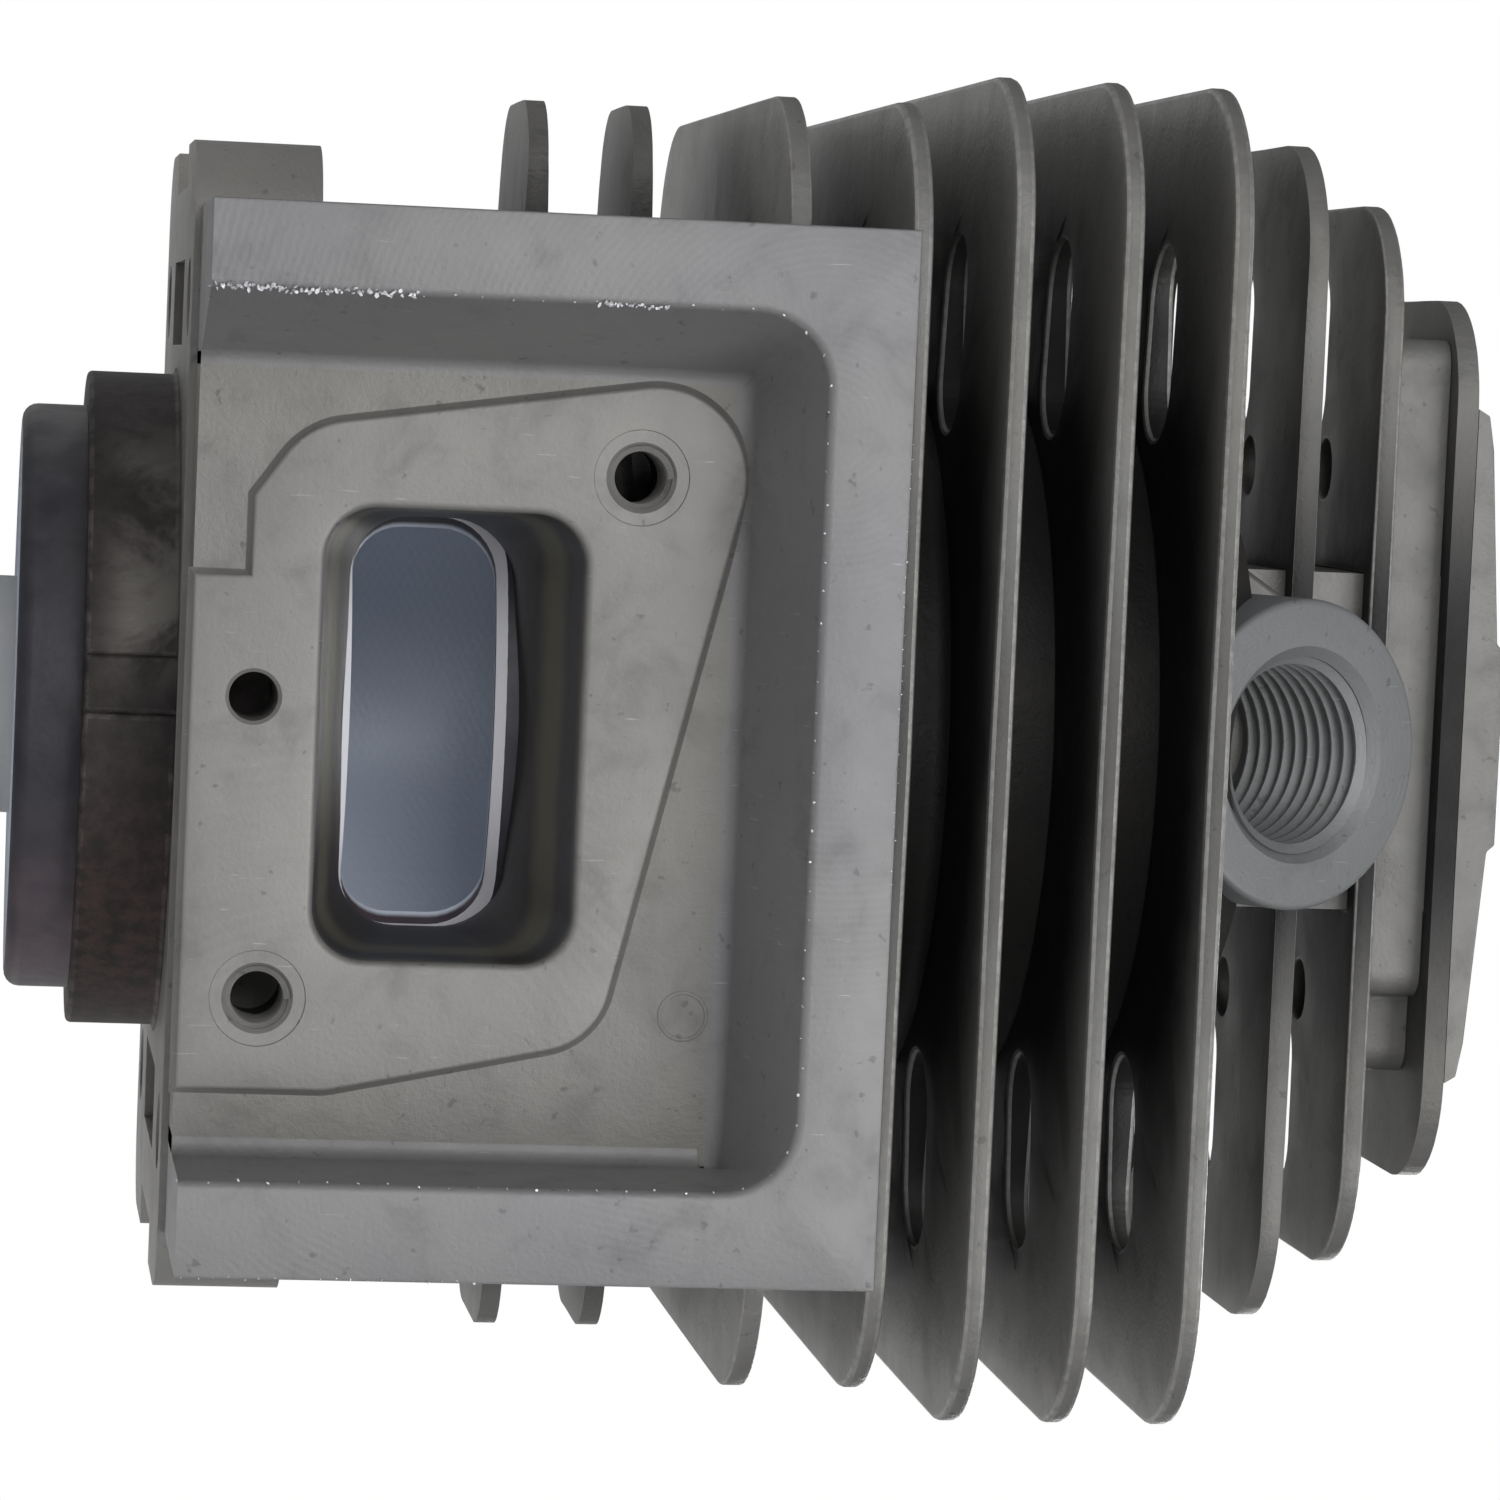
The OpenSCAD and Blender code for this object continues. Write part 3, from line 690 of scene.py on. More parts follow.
def fin_tree():
    """A cast fin from its plan outline: filled, drafted from root to tip, its edge slightly uneven."""
    tree, graph, given = new_geometry_tree("cast_fin", [
        ("Low", "Float", 0.0), ("High", "Float", 0.001), ("Root thickness", "Float", 0.0023),
        ("Tip thickness", "Float", 0.0014), ("Root radius", "Float", 0.025), ("Draft run", "Float", 0.016),
        ("Wobble", "Float", 0.00006), ("Seed", "Int", 1), ("Material", "Material", None)])
    curve = graph.node("GeometryNodeMeshToCurve", None, 0, Mesh=given["Geometry"])
    fill = graph.node("GeometryNodeFillCurve", {"mode": "TRIANGLES"}, 0, Curve=curve)
    fine = graph.node("GeometryNodeSubdivideMesh", None, 0, Mesh=fill, Level=2)
    position = graph.node("GeometryNodeInputPosition")
    noise = graph.node("ShaderNodeTexNoise", {"noise_dimensions": "4D"}, "Color", Vector=position,
                       Scale=900.0, Detail=3.0, W=given["Seed"] * 7.31)
    centred = graph.math("SUBTRACT", noise, (0.5, 0.5, 0.5), kind="ShaderNodeVectorMath")
    flat = graph.math("MULTIPLY", centred, (1, 1, 0), kind="ShaderNodeVectorMath")
    wobble = graph.node("ShaderNodeVectorMath", {"operation": "SCALE"}, 0, Vector=flat,
                        Scale=given["Wobble"] * 2.0)
    uneven = graph.node("GeometryNodeSetPosition", None, 0, Geometry=fine, Offset=wobble)
    x, y, z = graph.xyz(position)
    run = ((graph.length(x, y) - given["Root radius"]) / given["Draft run"]).clamp()
    thickness = given["Root thickness"] + (given["Tip thickness"] - given["Root thickness"]) * run
    middle = (given["Low"] + given["High"]) * 0.5
    sides = []
    for sign in (-0.5, 0.5):
        height = middle + thickness * sign - z
        offset = graph.node("ShaderNodeCombineXYZ", None, 0, Z=height)
        sides.append(graph.node("GeometryNodeSetPosition", None, 0, Geometry=uneven, Offset=offset))
    low = graph.node("GeometryNodeFlipFaces", None, 0, Mesh=sides[0])
    close_geometry_tree(graph, join(graph, low, sides[1]), given["Material"])
    return tree


def join(graph, *parts):
    made = graph.tree.nodes.new("GeometryNodeJoinGeometry")
    for part in reversed(parts):
        graph.tree.links.new(part.socket, made.inputs[0])
    return Value(graph, made.outputs[0])


def thread_tree():
    """An internal screw thread: a V-shaped ridge swept along a helix."""
    tree, graph, given = new_geometry_tree("screw_thread", [
        ("Core radius", "Float", 0.0064), ("Major radius", "Float", 0.007), ("Pitch", "Float", 0.00125),
        ("Length", "Float", 0.012), ("Material", "Material", None)])
    turns = given["Length"] / given["Pitch"]
    major = given["Major radius"]
    helix = graph.node("GeometryNodeCurveSpiral", None, 0, Resolution=48, Rotations=turns,
                       Start_Radius=major, End_Radius=major, Height=given["Length"])
    depth = major - given["Core radius"]
    ridge = ((-0.12, 0.46), (1.0, 0.07), (1.0, -0.07), (-0.12, -0.46))
    points = {f"Point_{k + 1}": graph.node("ShaderNodeCombineXYZ", None, 0, X=depth * x, Y=given["Pitch"] * y)
              for k, (x, y) in enumerate(ridge)}
    profile = graph.node("GeometryNodeCurvePrimitiveQuadrilateral", {"mode": "POINTS"}, 0, **points)
    upright = graph.node("GeometryNodeSetCurveNormal", {"mode": "Z_UP"}, 0, Curve=helix)
    swept = graph.node("GeometryNodeCurveToMesh", None, 0, Curve=upright, Profile_Curve=profile,
                       Fill_Caps=True)
    close_geometry_tree(graph, swept, given["Material"])
    return tree


def burr_tree():
    """Small torn flakes of metal scattered along a polyline."""
    tree, graph, given = new_geometry_tree("torn_burrs", [
        ("Count", "Int", 60), ("Size", "Float", 0.0002), ("Spread", "Float", 0.0002), ("Seed", "Int", 1),
        ("Material", "Material", None)])
    curve = graph.node("GeometryNodeMeshToCurve", None, 0, Mesh=given["Geometry"])
    points = graph.node("GeometryNodeCurveToPoints", {"mode": "COUNT"}, 0, Curve=curve, Count=given["Count"])
    drift = random_vector(graph, -1.0, 1.0, given["Seed"])
    offset = graph.node("ShaderNodeVectorMath", {"operation": "SCALE"}, 0, Vector=drift,
                        Scale=given["Spread"])
    points = graph.node("GeometryNodeSetPosition", None, 0, Geometry=points, Offset=offset)
    flake = graph.node("GeometryNodeMeshCone", None, 0, Vertices=5, Radius_Top=given["Size"] * 0.25,
                       Radius_Bottom=given["Size"], Depth=given["Size"] * 0.9)
    turn = random_vector(graph, -3.1, 3.1, given["Seed"] + 1)
    scale = random_vector(graph, 0.25, 1.5, given["Seed"] + 2)
    placed = graph.node("GeometryNodeInstanceOnPoints", None, 0, Points=points, Instance=flake, Rotation=turn,
                        Scale=scale)
    close_geometry_tree(graph, placed, given["Material"])
    return tree


def random_vector(graph, low, high, seed):
    return graph.node("FunctionNodeRandomValue", {"data_type": "FLOAT_VECTOR"}, 0, Min=(low, low, low),
                      Max=(high, high, high), Seed=seed)


FIN_TREE = fin_tree()
THREAD_TREE = thread_tree()
BURR_TREE = burr_tree()


# ---------- fins ----------
def fin(node, material, seed):
    """A fin grown on the plan outline of its CAD node."""
    low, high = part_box(node)
    obj = wire(node + "_fin", [[(p.x, p.y, 0) for p in loop] for loop in cad_loops(node, 2, -1)], closed=True)
    root_t = FIN_ROOT_T if node.startswith("cooling_") else HEAD_FIN_ROOT_T
    grow(obj, FIN_TREE, {"Low": low.z, "High": high.z, "Root thickness": root_t * MM,
                         "Tip thickness": FIN_TIP_T * MM, "Seed": seed, "Material": material})
    bm = bmesh_from(obj.data)
    close_rim(bm)
    discard(obj)
    return finish_piece(object_from(node + "_fin", bm), material, [node], 40.0)


def close_rim(bm):
    """Joins the two skins of a fin along their open edges and rounds the edge strip."""
    wear_and_highlight = bm.faces.layers.float.new("wear_and_highlight")
    bm.verts.ensure_lookup_table()
    half = len(bm.verts) // 2
    open_edges = [e for e in bm.edges if e.is_boundary]
    partner = {v: bm.verts[v.index + half] for e in open_edges for v in e.verts if v.index < half}
    sides = []
    for e in open_edges:
        a, b = e.verts
        if a in partner and b in partner:
            sides.append(bm.faces.new((a, b, partner[b], partner[a])))
    bmesh.ops.recalc_face_normals(bm, faces=bm.faces)
    corners = [e for e in bm.edges if len(e.link_faces) == 2 and sum(f in sides for f in e.link_faces) == 1]
    made = bmesh.ops.bevel(bm, geom=corners, offset=FIN_ROUND * MM, segments=2, profile=0.5, affect="EDGES",
                           clamp_overlap=True)
    for face in list(made["faces"]) + [f for f in sides if f.is_valid]:
        face[wear_and_highlight] = 1.0


FIN_NODES = sorted(n for n in frame["nodes"] if n.startswith(("cooling_fin_", "head_fin_")))
for seed, fin_node in enumerate(FIN_NODES):
    fin(fin_node, FIN_SKIN if fin_node.startswith("cooling_") else HEAD_FIN_SKIN, seed + 1)


# ---------- intake frame ----------
RAIL_STEPS = 16
TOP_STEPS = 18
BEND_STEPS = 12


def rim_stations():
    """Stations along the frame, from the left rail's foot over the top to the right rail's foot.
    Each is (outer, face edge, wall foot) in X and Z, in millimetres."""
    left, right = RIM_LEFT / MM, RIM_RIGHT / MM
    low, high = RIM_LOW / MM, RIM_HIGH / MM
    face_l, face_r, face_t = left + RAIL_FACE["left"], right - RAIL_FACE["right"], high - RAIL_FACE["top"]
    foot_l, foot_r, foot_t = FLOOR_LOW.x / MM, FLOOR_HIGH.x / MM, FLOOR_HIGH.z / MM
    bend_z = face_t - RECESS_R
    bend_l, bend_r = face_l + RECESS_R, face_r - RECESS_R
    rows = [((left, z), (face_l, z), (foot_l, z)) for z in spread(low, bend_z, RAIL_STEPS)]
    bend = arc((bend_l, bend_z), RECESS_R, 180, 90, BEND_STEPS)
    outer = corner_path((left, bend_z), (left, high), (bend_l, high))
    foot = corner_path((foot_l, bend_z), (foot_l, foot_t), (max(foot_l + 1, bend_l), foot_t))
    rows += list(zip(outer, bend, foot))[1:]
    rows += [((x, high), (x, face_t), (max(x, rows[-1][2][0]), foot_t))
             for x in spread(bend_l, bend_r, TOP_STEPS)[1:]]
    bend = arc((bend_r, bend_z), RECESS_R, 90, 0, BEND_STEPS)
    outer = corner_path((bend_r, high), (right, high), (right, bend_z))
    foot = corner_path((bend_r, foot_t), (foot_r, foot_t), (foot_r, bend_z))
    rows += list(zip(outer, bend, foot))[1:]
    rows += [((right, z), (face_r, z), (foot_r, z)) for z in spread(bend_z, low, RAIL_STEPS)[1:]]
    return rows, RAIL_STEPS, RAIL_STEPS + TOP_STEPS + 2 * BEND_STEPS


def spread(a, b, count):
    return [a + (b - a) * k / count for k in range(count + 1)]


def corner_path(a, corner, b):
    """Points from a over the corner to b, with the corner at the middle step."""
    half = BEND_STEPS // 2
    first = [tuple(Vector(a).lerp(Vector(corner), k / half)) for k in range(half)]
    return first + [tuple(Vector(corner).lerp(Vector(b), k / half)) for k in range(half + 1)]


def rim_section(outer, edge, foot):
    """One section of the frame: outer side, face, rounded inner edge, sloping wall and foot fillet.
    Each point is (place in X and Z, depth Y), in millimetres until the end."""
    o, e, f = Vector(outer), Vector(edge), Vector(foot)
    across = (e - o).normalized()
    slope = f - e
    reach = slope.dot(across)
    face, back = RIM_FACE / MM, FLOOR_HIGH.y / MM
    floor = FLOOR_LOW.y / MM
    depth = floor - face
    wall = Vector((reach, depth)).normalized()
    points = [(o, back)]
    r = RIM_OUTER_ROUND
    for k in range(3):
        a = math.pi / 2 * k / 2
        points.append((o + across * r * (1 - math.cos(a)), face + r * (1 - math.sin(a))))
    turn = math.atan2(depth, reach)
    r = RIM_INNER_ROUND
    set_back = r * math.tan(turn / 2)
    for k in range(6):
        a = turn * k / 5
        points.append((e + across * (-set_back + r * math.sin(a)), face + r * (1 - math.cos(a))))
    g = FOOT_FILLET
    set_up = g * math.tan(turn / 2)
    start = Vector((slope.length if reach > 0.01 else 0.0, floor)) - wall * set_up
    for k in range(6):
        a = turn * (1 - k / 5)
        along = start.x + g * (math.sin(turn) - math.sin(a))
        y = start.y + g * (math.cos(a) - math.cos(turn))
        base = e + (slope.normalized() if slope.length > 0.01 else across) * along
        points.append((base, y))
    points.append((points[-1][0], back))
    return [Vector((p.x, y, p.y)) * MM for p, y in points]


def intake_frame():
    rows, first, last = rim_stations()
    sections = [rim_section(*row) for row in rows]
    for name, part in (("rim_rail_left", sections[:first + 1]), ("rim_rail_top", sections[first:last + 1]),
                       ("rim_rail_right", sections[last:])):
        bm = bmesh.new()
        loft(bm, part)
        finish_piece(object_from(name + "_milled", bm), MILLED_RIM, [name], 36.0)


intake_frame()


# ---------- gasket pad and floor ----------
def flat_loops(node):
    """Loops of the node's front face as (x, z), largest first."""
    loops = [[(p.x, p.z) for p in loop] for loop in cad_loops(node, 1, -1)]
    return sorted(loops, key=lambda loop: -abs(signed_area(loop)))


# (inset, height) from the pad's face down, in millimetres
PAD_EDGE = rounding(0.3)
PAD_FLARE = -0.35
PORT_EDGE = rounding(0.55, 4)
SCREW_SEAT = [(1.15, 0.0), (1.1, -0.12), (0.3, -0.14), (0.0, -0.45)]
SMALL_HOLE = [(0.25, 0.0), (0.0, -0.25)]


def gasket_pad():
    thickness = FLOOR_LOW.y - PAD_FACE
    loops = flat_loops("intake_pad")
    borders = [(loops[0], to_metres(PAD_EDGE) + [(PAD_FLARE * MM, -thickness)])]
    for loop in loops[1:]:
        wide = max(x for x, _ in loop) - min(x for x, _ in loop)
        edge = PORT_EDGE if wide > 20 * MM else SCREW_SEAT if wide > 4 * MM else SMALL_HOLE
        borders.append((loop, to_metres(edge) + [(0, -thickness)]))
    bm = plate(borders, lambda x, z, h: (x, PAD_FACE - h, z))
    finish_piece(object_from("gasket_pad", bm), MILLED_PAD, ["intake_pad"])


gasket_pad()
soft_copy("intake_floor", CAST, 0.2)


# ---------- intake passage ----------
PORT_W, PORT_H, PORT_R, PORT_Z = 30.4, 17.5, 3.5, 18.0
WINDOW_W, WINDOW_H, WINDOW_R, WINDOW_Z = 27.0, 10.0, 3.6, 17.0
END_W, END_H, END_R, END_Z = 28.6, 11.4, 4.3, 17.45
WINDOW_CHAMFER = 0.8
# centre angle, centre height, width, height and corner radius of the windows on the other sides
OTHER_WINDOWS = {"exhaust": (90, 38.4, 26.0, 14.0, 3.5), "transfer_right": (0, 31.5, 18.0, 9.0, 1.5),
                 "transfer_left": (180, 31.5, 18.0, 9.0, 1.5)}
DUCT_WALL = 3.3
PASSAGE_START = -30.4
# depth where the passage's wall comes free of the floor
PASSAGE_FREE = -24.0
# square of the X past which the wall's end stays flat
FLAT_END = 330.0


def passage_loop(share, grow_by=0.0):
    """Outline of the passage, from the mouth at 0 to the window at 1."""
    ease = share * share * (3 - 2 * share)
    w = PORT_W + (END_W - PORT_W) * ease + 2 * grow_by
    h = PORT_H + (END_H - PORT_H) * ease + 2 * grow_by
    r = PORT_R + (END_R - PORT_R) * ease + grow_by
    return round_rect((0, PORT_Z + (END_Z - PORT_Z) * ease), w, h, r, 10)


def intake_passage():
    start, pad_back = PASSAGE_START, PASSAGE_FREE
    liner = LINER_R / MM
    bm = bmesh.new()
    loops = []
    for k in range(13):
        share = k / 12
        ring = []
        for x, z in passage_loop(share):
            end = -math.sqrt(liner * liner - x * x)
            ring.append(Vector((x, start + (end - start) * share, z)) * MM)
        loops.append(ring)
    for k in range(13):
        share = 1 - k / 12
        ring = []
        for (x, z), (mx, mz) in zip(passage_loop(share, DUCT_WALL), passage_loop(0, 0.02)):
            end = -math.sqrt(liner * liner - min(x * x, FLAT_END))
            y = start + (end - start) * share
            ring.append(Vector((x, y, z)) * MM if y > pad_back else Vector((mx, y, mz)) * MM)
        loops.append(ring)
    rows = loft(bm, loops, close_ends=False)
    count = len(rows[0])
    for i in range(count):
        j = (i + 1) % count
        bm.faces.new((rows[-1][i], rows[-1][j], rows[0][j], rows[0][i]))
    finish_piece(object_from("intake_passage", bm), OILY, ["intake_duct"], 50.0)


intake_passage()


# ---------- liner ----------
def window_outline(centre_z, width, height, radius):
    """Rounded rectangle whose upper half runs right to left, mirrored point by point in its lower half."""
    hw, hh = width / 2 - radius, height / 2 - radius
    upper = arc((hw, hh), radius, 0, 90, 8)
    upper += [(x, hh + radius) for x in spread(hw, -hw, 14)[1:-1]]
    upper += arc((-hw, hh), radius, 90, 180, 8)
    return [(x, centre_z + z) for x, z in upper] + [(x, centre_z - z) for x, z in reversed(upper)]


def wrapped_cutter(name, centre_deg, centre_z, width, height, radius, layers):
    """Cutter for a window: a rounded outline wrapped round the bore. layers is a list of (radius, growth)."""
    bm = bmesh.new()
    loops = []
    for r, growth in layers:
        ring = []
        for x, z in window_outline(centre_z, width + 2 * growth, height + 2 * growth, radius + growth):
            a = math.radians(centre_deg) + math.asin(max(-0.99, min(0.99, x / (BORE_R / MM))))
            ring.append(Vector((r * math.cos(a), r * math.sin(a), z)) * MM)
        loops.append(ring)
    rows = loft(bm, loops, close_ends=False)
    count = len(rows[0])
    for row in (rows[0], rows[-1]):
        for i in range(count // 2 - 1):
            bm.faces.new((row[i], row[i + 1], row[count - 2 - i], row[count - 1 - i]))
    return object_from(name, bm)


def window_cutters():
    bore, liner = BORE_R / MM, LINER_R / MM
    cut_in, cut_out = bore - 2.0, liner + 9.0
    wide = 2 * WINDOW_CHAMFER
    through = [(cut_in, 0.0), (liner - WINDOW_CHAMFER, 0.0), (liner + 1.0, wide), (cut_out, wide)]
    plain = [(cut_in, 0.0), (cut_out, 0.0)]
    intake = wrapped_cutter("cut_intake", 270, WINDOW_Z, WINDOW_W, WINDOW_H, WINDOW_R, through)
    return [intake] + [wrapped_cutter("cut_" + name, *sizes, plain) for name, sizes in OTHER_WINDOWS.items()]


def bore_liner():
    r0, r1, low, top = BORE_R, LINER_R, SKIRT_LOW, LINER_TOP
    edge = 1.1 * MM
    profile = [(r0, top), (r0, low + 0.5 * MM), (r0 + 0.3 * MM, low)]
    profile += arc((r1 - edge, low + edge), edge, 270, 360, 5)
    profile += [(r1, top)]
    obj = object_from("lining_sleeve", lathe(profile, 128))
    cutters = window_cutters()
    carve(obj, cutters)
    discard(*cutters)
    mark_chamfers(obj)
    finish_piece(obj, HONED, ["bore_liner"])


def mark_chamfers(obj):
    """Marks the window's chamfers to be painted bright, bare machined metal with a painted highlight: faces
    that are neither round nor flat across.
    """
    wear_and_highlight = obj.data.attributes.new("wear_and_highlight", "FLOAT", "FACE")
    for polygon in obj.data.polygons:
        c, n = polygon.center, polygon.normal
        radial = (n.x * c.x + n.y * c.y) / max(1e-9, math.hypot(c.x, c.y))
        front = c.y < 0 and 8 * MM < c.z < 26 * MM
        wear_and_highlight.data[polygon.index].value = 1.0 if front and 0.15 < abs(radial) < 0.9 else 0.0


bore_liner()


# ---------- plug boss ----------
def plug_place(offset=0.0):
    """Frame whose +Z points out of the plug hole, from the seat's centre moved outwards by offset."""
    return Matrix.Translation(PLUG_SEAT + PLUG_AXIS * offset) @ Matrix.Rotation(PLUG_TILT, 4, "X")


SEAT_R = 11.1
MOUTH_R = 7.75
THREAD_R = 7.0
THREAD_PITCH = 1.25
THREAD_L = 13.5
BOSS_L = 26.0
PLUG_BORE_L = 14.0
SEAT_ROUND = 0.5
DOME_SHOULDER = 70.3
DOME_TOP_R = 19.0


def plug_boss():
    profile = [(THREAD_R, -BOSS_L), (THREAD_R, -(MOUTH_R - THREAD_R)), (MOUTH_R, 0.0)]
    profile += [(SEAT_R - SEAT_ROUND + SEAT_ROUND * math.sin(a), -SEAT_ROUND + SEAT_ROUND * math.cos(a))
                for a in (math.pi / 8 * k for k in range(5))]
    profile += [(SEAT_R, -BOSS_L)]
    obj = object_from("plug_boss_turned", lathe(to_metres(profile), 96, plug_place()))
    boss_low, boss_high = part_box("plug_boss")
    cutters = [object_from("cut_dome", dome_cutter()),
               box_between("cut_low", (-0.1, -0.1, -0.1), (0.1, 0.1, boss_low.z)),
               box_between("cut_rear", (-0.1, boss_high.y, -0.1), (0.1, 0.1, 0.2))]
    carve(obj, cutters)
    discard(*cutters)
    finish_piece(obj, MILLED_SEAT, ["plug_boss"])


def dome_cutter():
    low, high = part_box("head_dome")
    side = [(high.x, low.z), (high.x, DOME_SHOULDER * MM), (DOME_TOP_R * MM, high.z)]
    return lathe([(0, low.z)] + side + [(0, high.z)], 96)


def box_between(name, low, high):
    bm = bmesh.new()
    bmesh.ops.create_cube(bm, size=1.0)
    for v in bm.verts:
        v.co = Vector([low[i] if v.co[i] < 0 else high[i] for i in range(3)])
    return object_from(name, bm)


def thread(name, place, core_r, major_r, pitch, length, material):
    obj = new_object(name, bpy.data.meshes.new(name))
    grow(obj, THREAD_TREE, {"Core radius": core_r * MM, "Major radius": major_r * MM, "Pitch": pitch * MM,
                            "Length": length * MM, "Material": material})
    bm = bmesh_from(obj.data)
    bm.transform(place)
    discard(obj)
    return finish_piece(object_from(name, bm), material, (), 25.0)


plug_boss()
thread("plug_thread", plug_place(-THREAD_L * MM), PLUG_CORE_R / MM, THREAD_R, THREAD_PITCH, THREAD_L - 0.7,
       MILLED_SEAT)


def plug_bore_cutter():
    profile = [(0, -PLUG_BORE_L), (THREAD_R, -PLUG_BORE_L), (THREAD_R, 1), (0, 1)]
    return object_from("cut_plug_bore", lathe(to_metres(profile), 64, plug_place()))


PLUG_BORE = plug_bore_cutter()
soft_copy("head_dome", CAST_DARK, 0.4, cut=[PLUG_BORE])
soft_copy("head_core", HEAD_SKIN, 0.4, cut=[PLUG_BORE])
discard(PLUG_BORE)

# ---------- small work: burrs, screw threads, ejector mark, gussets ----------
def burrs(name, path, count, size, spread_by, seed):
    """Flakes along a polyline of points in millimetres."""
    obj = wire(name, [[Vector(p) * MM for p in path]])
    grow(obj, BURR_TREE, {"Count": count, "Size": size * MM, "Spread": spread_by * MM, "Seed": seed,
                          "Material": BURR})
    return finish_piece(obj, BURR, (), 20.0)


def rim_burrs():
    face = RIM_FACE / MM + 0.02
    inner = [(row[1][0], face, row[1][1]) for row in rim_stations()[0]]
    right, high = RIM_RIGHT / MM - 0.1, RIM_HIGH / MM - 0.1
    left_edge = [p for p in inner if p[2] < 14.0 and p[0] < 0]
    burrs("burrs_left_rail", left_edge, 90, 0.16, 0.22, 3)
    burrs("burrs_inner_edge", inner, 70, 0.10, 0.12, 11)
    burrs("burr_curl", [(inner[0][0], face, 25.5), (inner[0][0] + 0.1, face, 30.0)], 26, 0.15, 0.12, 5)
    burrs("burrs_outer_edge", [(-24.0, face, high), (8.0, face, high)], 34, 0.08, 0.10, 7)
    burrs("burrs_foot", [(right, face, 1.0), (right, face, 22.0)], 22, 0.08, 0.10, 13)


def facing_front(x, y, z):
    """Frame at a point given in millimetres, whose +Z points out of the intake face."""
    return Matrix.Translation(Vector((x, y, z)) * MM) @ Matrix.Rotation(math.pi / 2, 4, "X")


INTAKE_SCREWS = ((-17.9, 30.2), (17.9, 5.8))


def intake_screw_threads():
    deep = PAD_FACE / MM + 6.6
    for side, (x, z) in zip(("upper", "lower"), INTAKE_SCREWS):
        thread("intake_thread_" + side, facing_front(x, deep, z), 1.78, 2.12, 0.8, 6.2, MILLED_PAD)


def ejector_mark():
    profile = [(1.45, -0.05), (1.5, 0.07), (1.62, 0.09), (1.72, 0.05), (1.75, -0.05)]
    place = facing_front(18.4, FLOOR_LOW.y / MM, 34.6)
    bm = lathe(to_metres(profile), 48, place)
    finish_piece(object_from("ejector_mark", bm), CAST)


GUSSET_ROUND = 0.5


def gusset(name, outline, front, back):
    """Web between fins: an X and Z outline in millimetres from the front depth to the back depth."""
    bm = bmesh.new()
    loft(bm, [[Vector((x, y, z)) * MM for x, z in outline] for y in (front, back)])
    bm.faces.layers.float.new("wear_and_highlight")
    front_edges = [e for e in bm.edges if all(v.co.y < front * MM + 1e-6 for v in e.verts)]
    bmesh.ops.bevel(bm, geom=front_edges, offset=GUSSET_ROUND * MM, segments=3, profile=0.5, affect="EDGES",
                    clamp_overlap=True)
    finish_piece(object_from(name, bm), HEAD_SKIN)


def gussets():
    gap = [(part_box(a)[1].z / MM - 0.2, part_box(b)[0].z / MM + 0.2)
           for a, b in (("cooling_fin_7", "head_fin_1"), ("head_fin_1", "head_fin_2"))]
    (a, b), (c, d) = gap
    gusset("gusset_low", [(-15.6, a), (-12.4, b), (11.4, b), (12.8, a)], -9.0, 2.0)
    gusset("gusset_high", [(-13.3, c), (-10.2, d), (9.4, d), (10.6, c)], -2.6, 2.0)


rim_burrs()
intake_screw_threads()
ejector_mark()
gussets()

# ---------- the rest of the casting ----------
soft_copy("spigot", BURNT, 1.3, 5)
soft_copy("base_flange", CAST, 0.9, 4)


def root_radius(z, fins):
    """Barrel radius at height z, flared into the fin roots by a fillet."""
    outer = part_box("barrel")[1].x
    gap = min(max(low - z, z - high, 0.0) for low, high in fins)
    fillet = ROOT_FILLET * MM
    if gap >= fillet:
        return outer
    return outer + fillet - math.sqrt(fillet * fillet - (fillet - gap) ** 2)


def barrel():
    low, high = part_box("barrel")
    fins = [(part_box(n)[0].z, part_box(n)[1].z) for n in FIN_NODES if n.startswith("cooling_")]
    levels = spread(low.z, high.z, 150)
    profile = [(LINER_R, high.z), (LINER_R, low.z)] + [(root_radius(z, fins), z) for z in levels]
    obj = object_from("barrel_cast", lathe(profile, 96))
    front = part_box("base_flange")[0].y
    cutters = window_cutters() + [passage_cutter()]
    cutters.append(box_between("cut_front", (-0.1, -0.1, 0), (0.1, front, RIM_HIGH)))
    carve(obj, cutters)
    discard(*cutters)
    finish_piece(obj, CAST_DARK, ["barrel"])


def passage_cutter():
    """The intake passage grown into its wall, so that the barrel stays out of sight in it."""
    bm = bmesh.new()
    grow_by = DUCT_WALL / 2
    loft(bm, [[Vector((x, y, z)) * MM for x, z in passage_loop(share, grow_by)]
              for y, share in ((-28.0, 0.0), (-24.0, 0.3), (-19.0, 1.0), (-10.0, 1.0))])
    return object_from("cut_passage", bm)


barrel()
for duct in ("transfer_duct_left", "transfer_duct_right"):
    soft_copy(duct, CAST, 1.2, 4)
soft_copy("intake_screw_bosses", CAST_DARK, 0.4)
soft_copy("exhaust_duct", CAST, 0.8)
soft_copy("exhaust_flange", MILLED_PAD, 0.5)
soft_copy("head_slab", HEAD_SKIN, 0.5)
soft_copy("head_cap", HEAD_SKIN, 0.15)


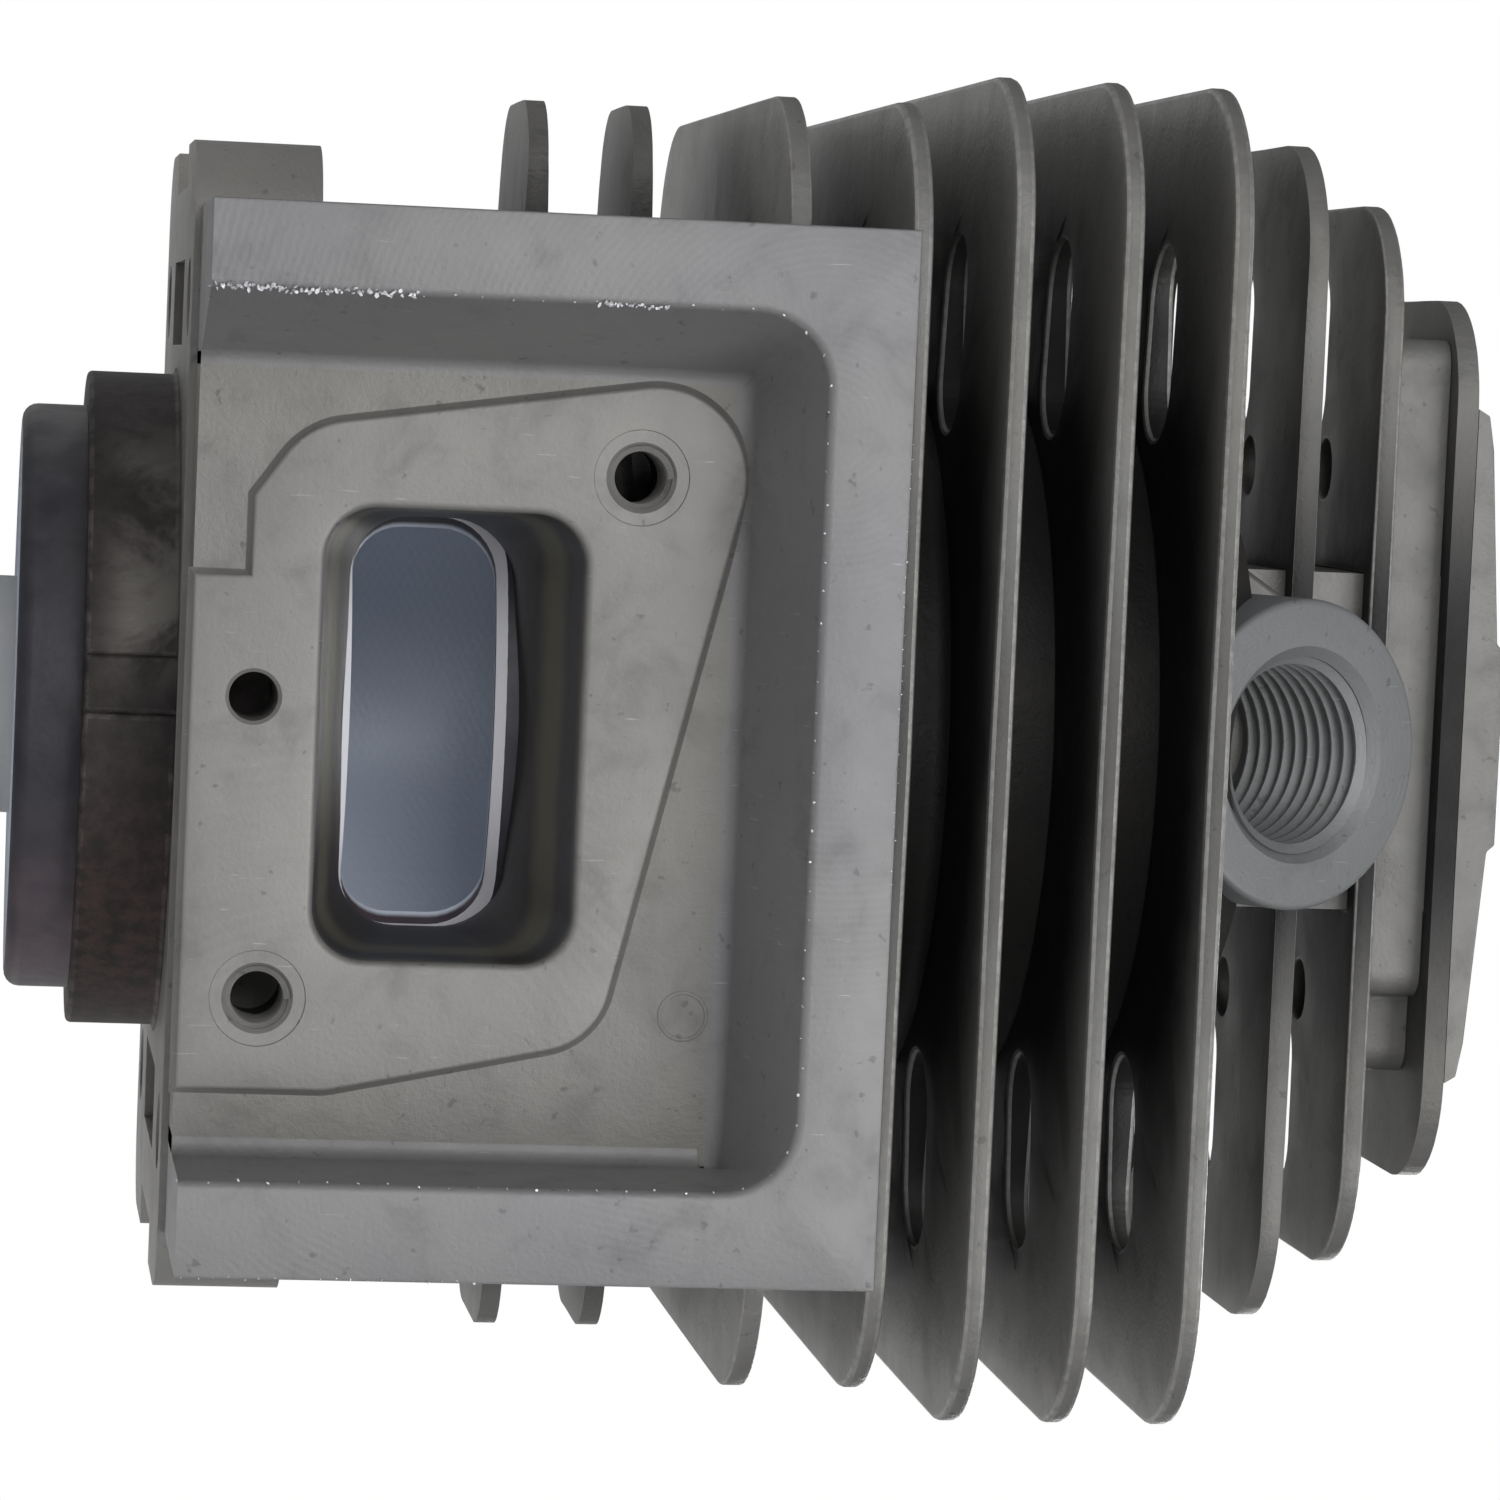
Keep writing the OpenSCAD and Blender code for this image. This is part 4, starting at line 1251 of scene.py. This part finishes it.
# ---------- floor, light ----------
def plain_material(name, shade):
    material, graph, coords = new_material(name)
    tone = graph.tint(graph.noise(coords, 30.0), (shade, shade, shade), (shade * 0.97,) * 3)
    close_material(graph, tone, 0.8, 0.0, [])
    return material


STAND_H = 4.4
STAND_R = 8.5


def make_stage():
    """A pale floor and a low round stand under the skirt."""
    pale = plain_material("pale_floor", 0.86)
    for name, radius, low, high in (("floor", 0.9, -0.006, 0.0), ("stand", STAND_R * MM, 0.0, STAND_H * MM)):
        base = SKIRT_LOW - STAND_H * MM
        profile = [(0, base + low), (radius, base + low), (radius, base + high), (0, base + high)]
        obj = object_from(name, lathe(profile, 96))
        obj.data.materials.append(pale)


# place, size in metres and power in watts
LIGHTS = {"key": ((-0.70, -1.70, 0.25), 0.9, 10.5), "front": ((0.30, -1.20, 0.75), 0.8, 10.0),
          "back": ((0.25, 0.8, 0.5), 0.6, 9.0)}
LIGHT_AIM = (0.0, 0.0, 0.045)


def make_light():
    for name, (place, size, power) in LIGHTS.items():
        data = bpy.data.lights.new(name, "AREA")
        data.size = size
        data.energy = power
        obj = new_object(name, data)
        obj.location = place
        obj.rotation_euler = (Vector(LIGHT_AIM) - Vector(place)).to_track_quat("-Z", "Y").to_euler()
    world = bpy.data.worlds.new("studio")
    world.use_nodes = True
    world.node_tree.nodes.clear()
    graph = Graph(world.node_tree)
    seen = graph.node("ShaderNodeLightPath", None, "Is Camera Ray")
    soft = graph.node("ShaderNodeBackground", None, 0, Color=(0.95, 0.97, 1.0, 1.0), Strength=0.2)
    white = graph.node("ShaderNodeBackground", None, 0, Color=(1.0, 1.0, 1.0, 1.0), Strength=1.0)
    mixed = graph.tree.nodes.new("ShaderNodeMixShader")
    for socket, value in zip(mixed.inputs, (seen, soft, white)):
        graph.feed(socket, value)
    graph.node("ShaderNodeOutputWorld", None, 0, Surface=Value(graph, mixed.outputs[0]))
    bpy.context.scene.world = world
    bpy.context.scene.view_settings.view_transform = "Standard"


make_stage()
make_light()
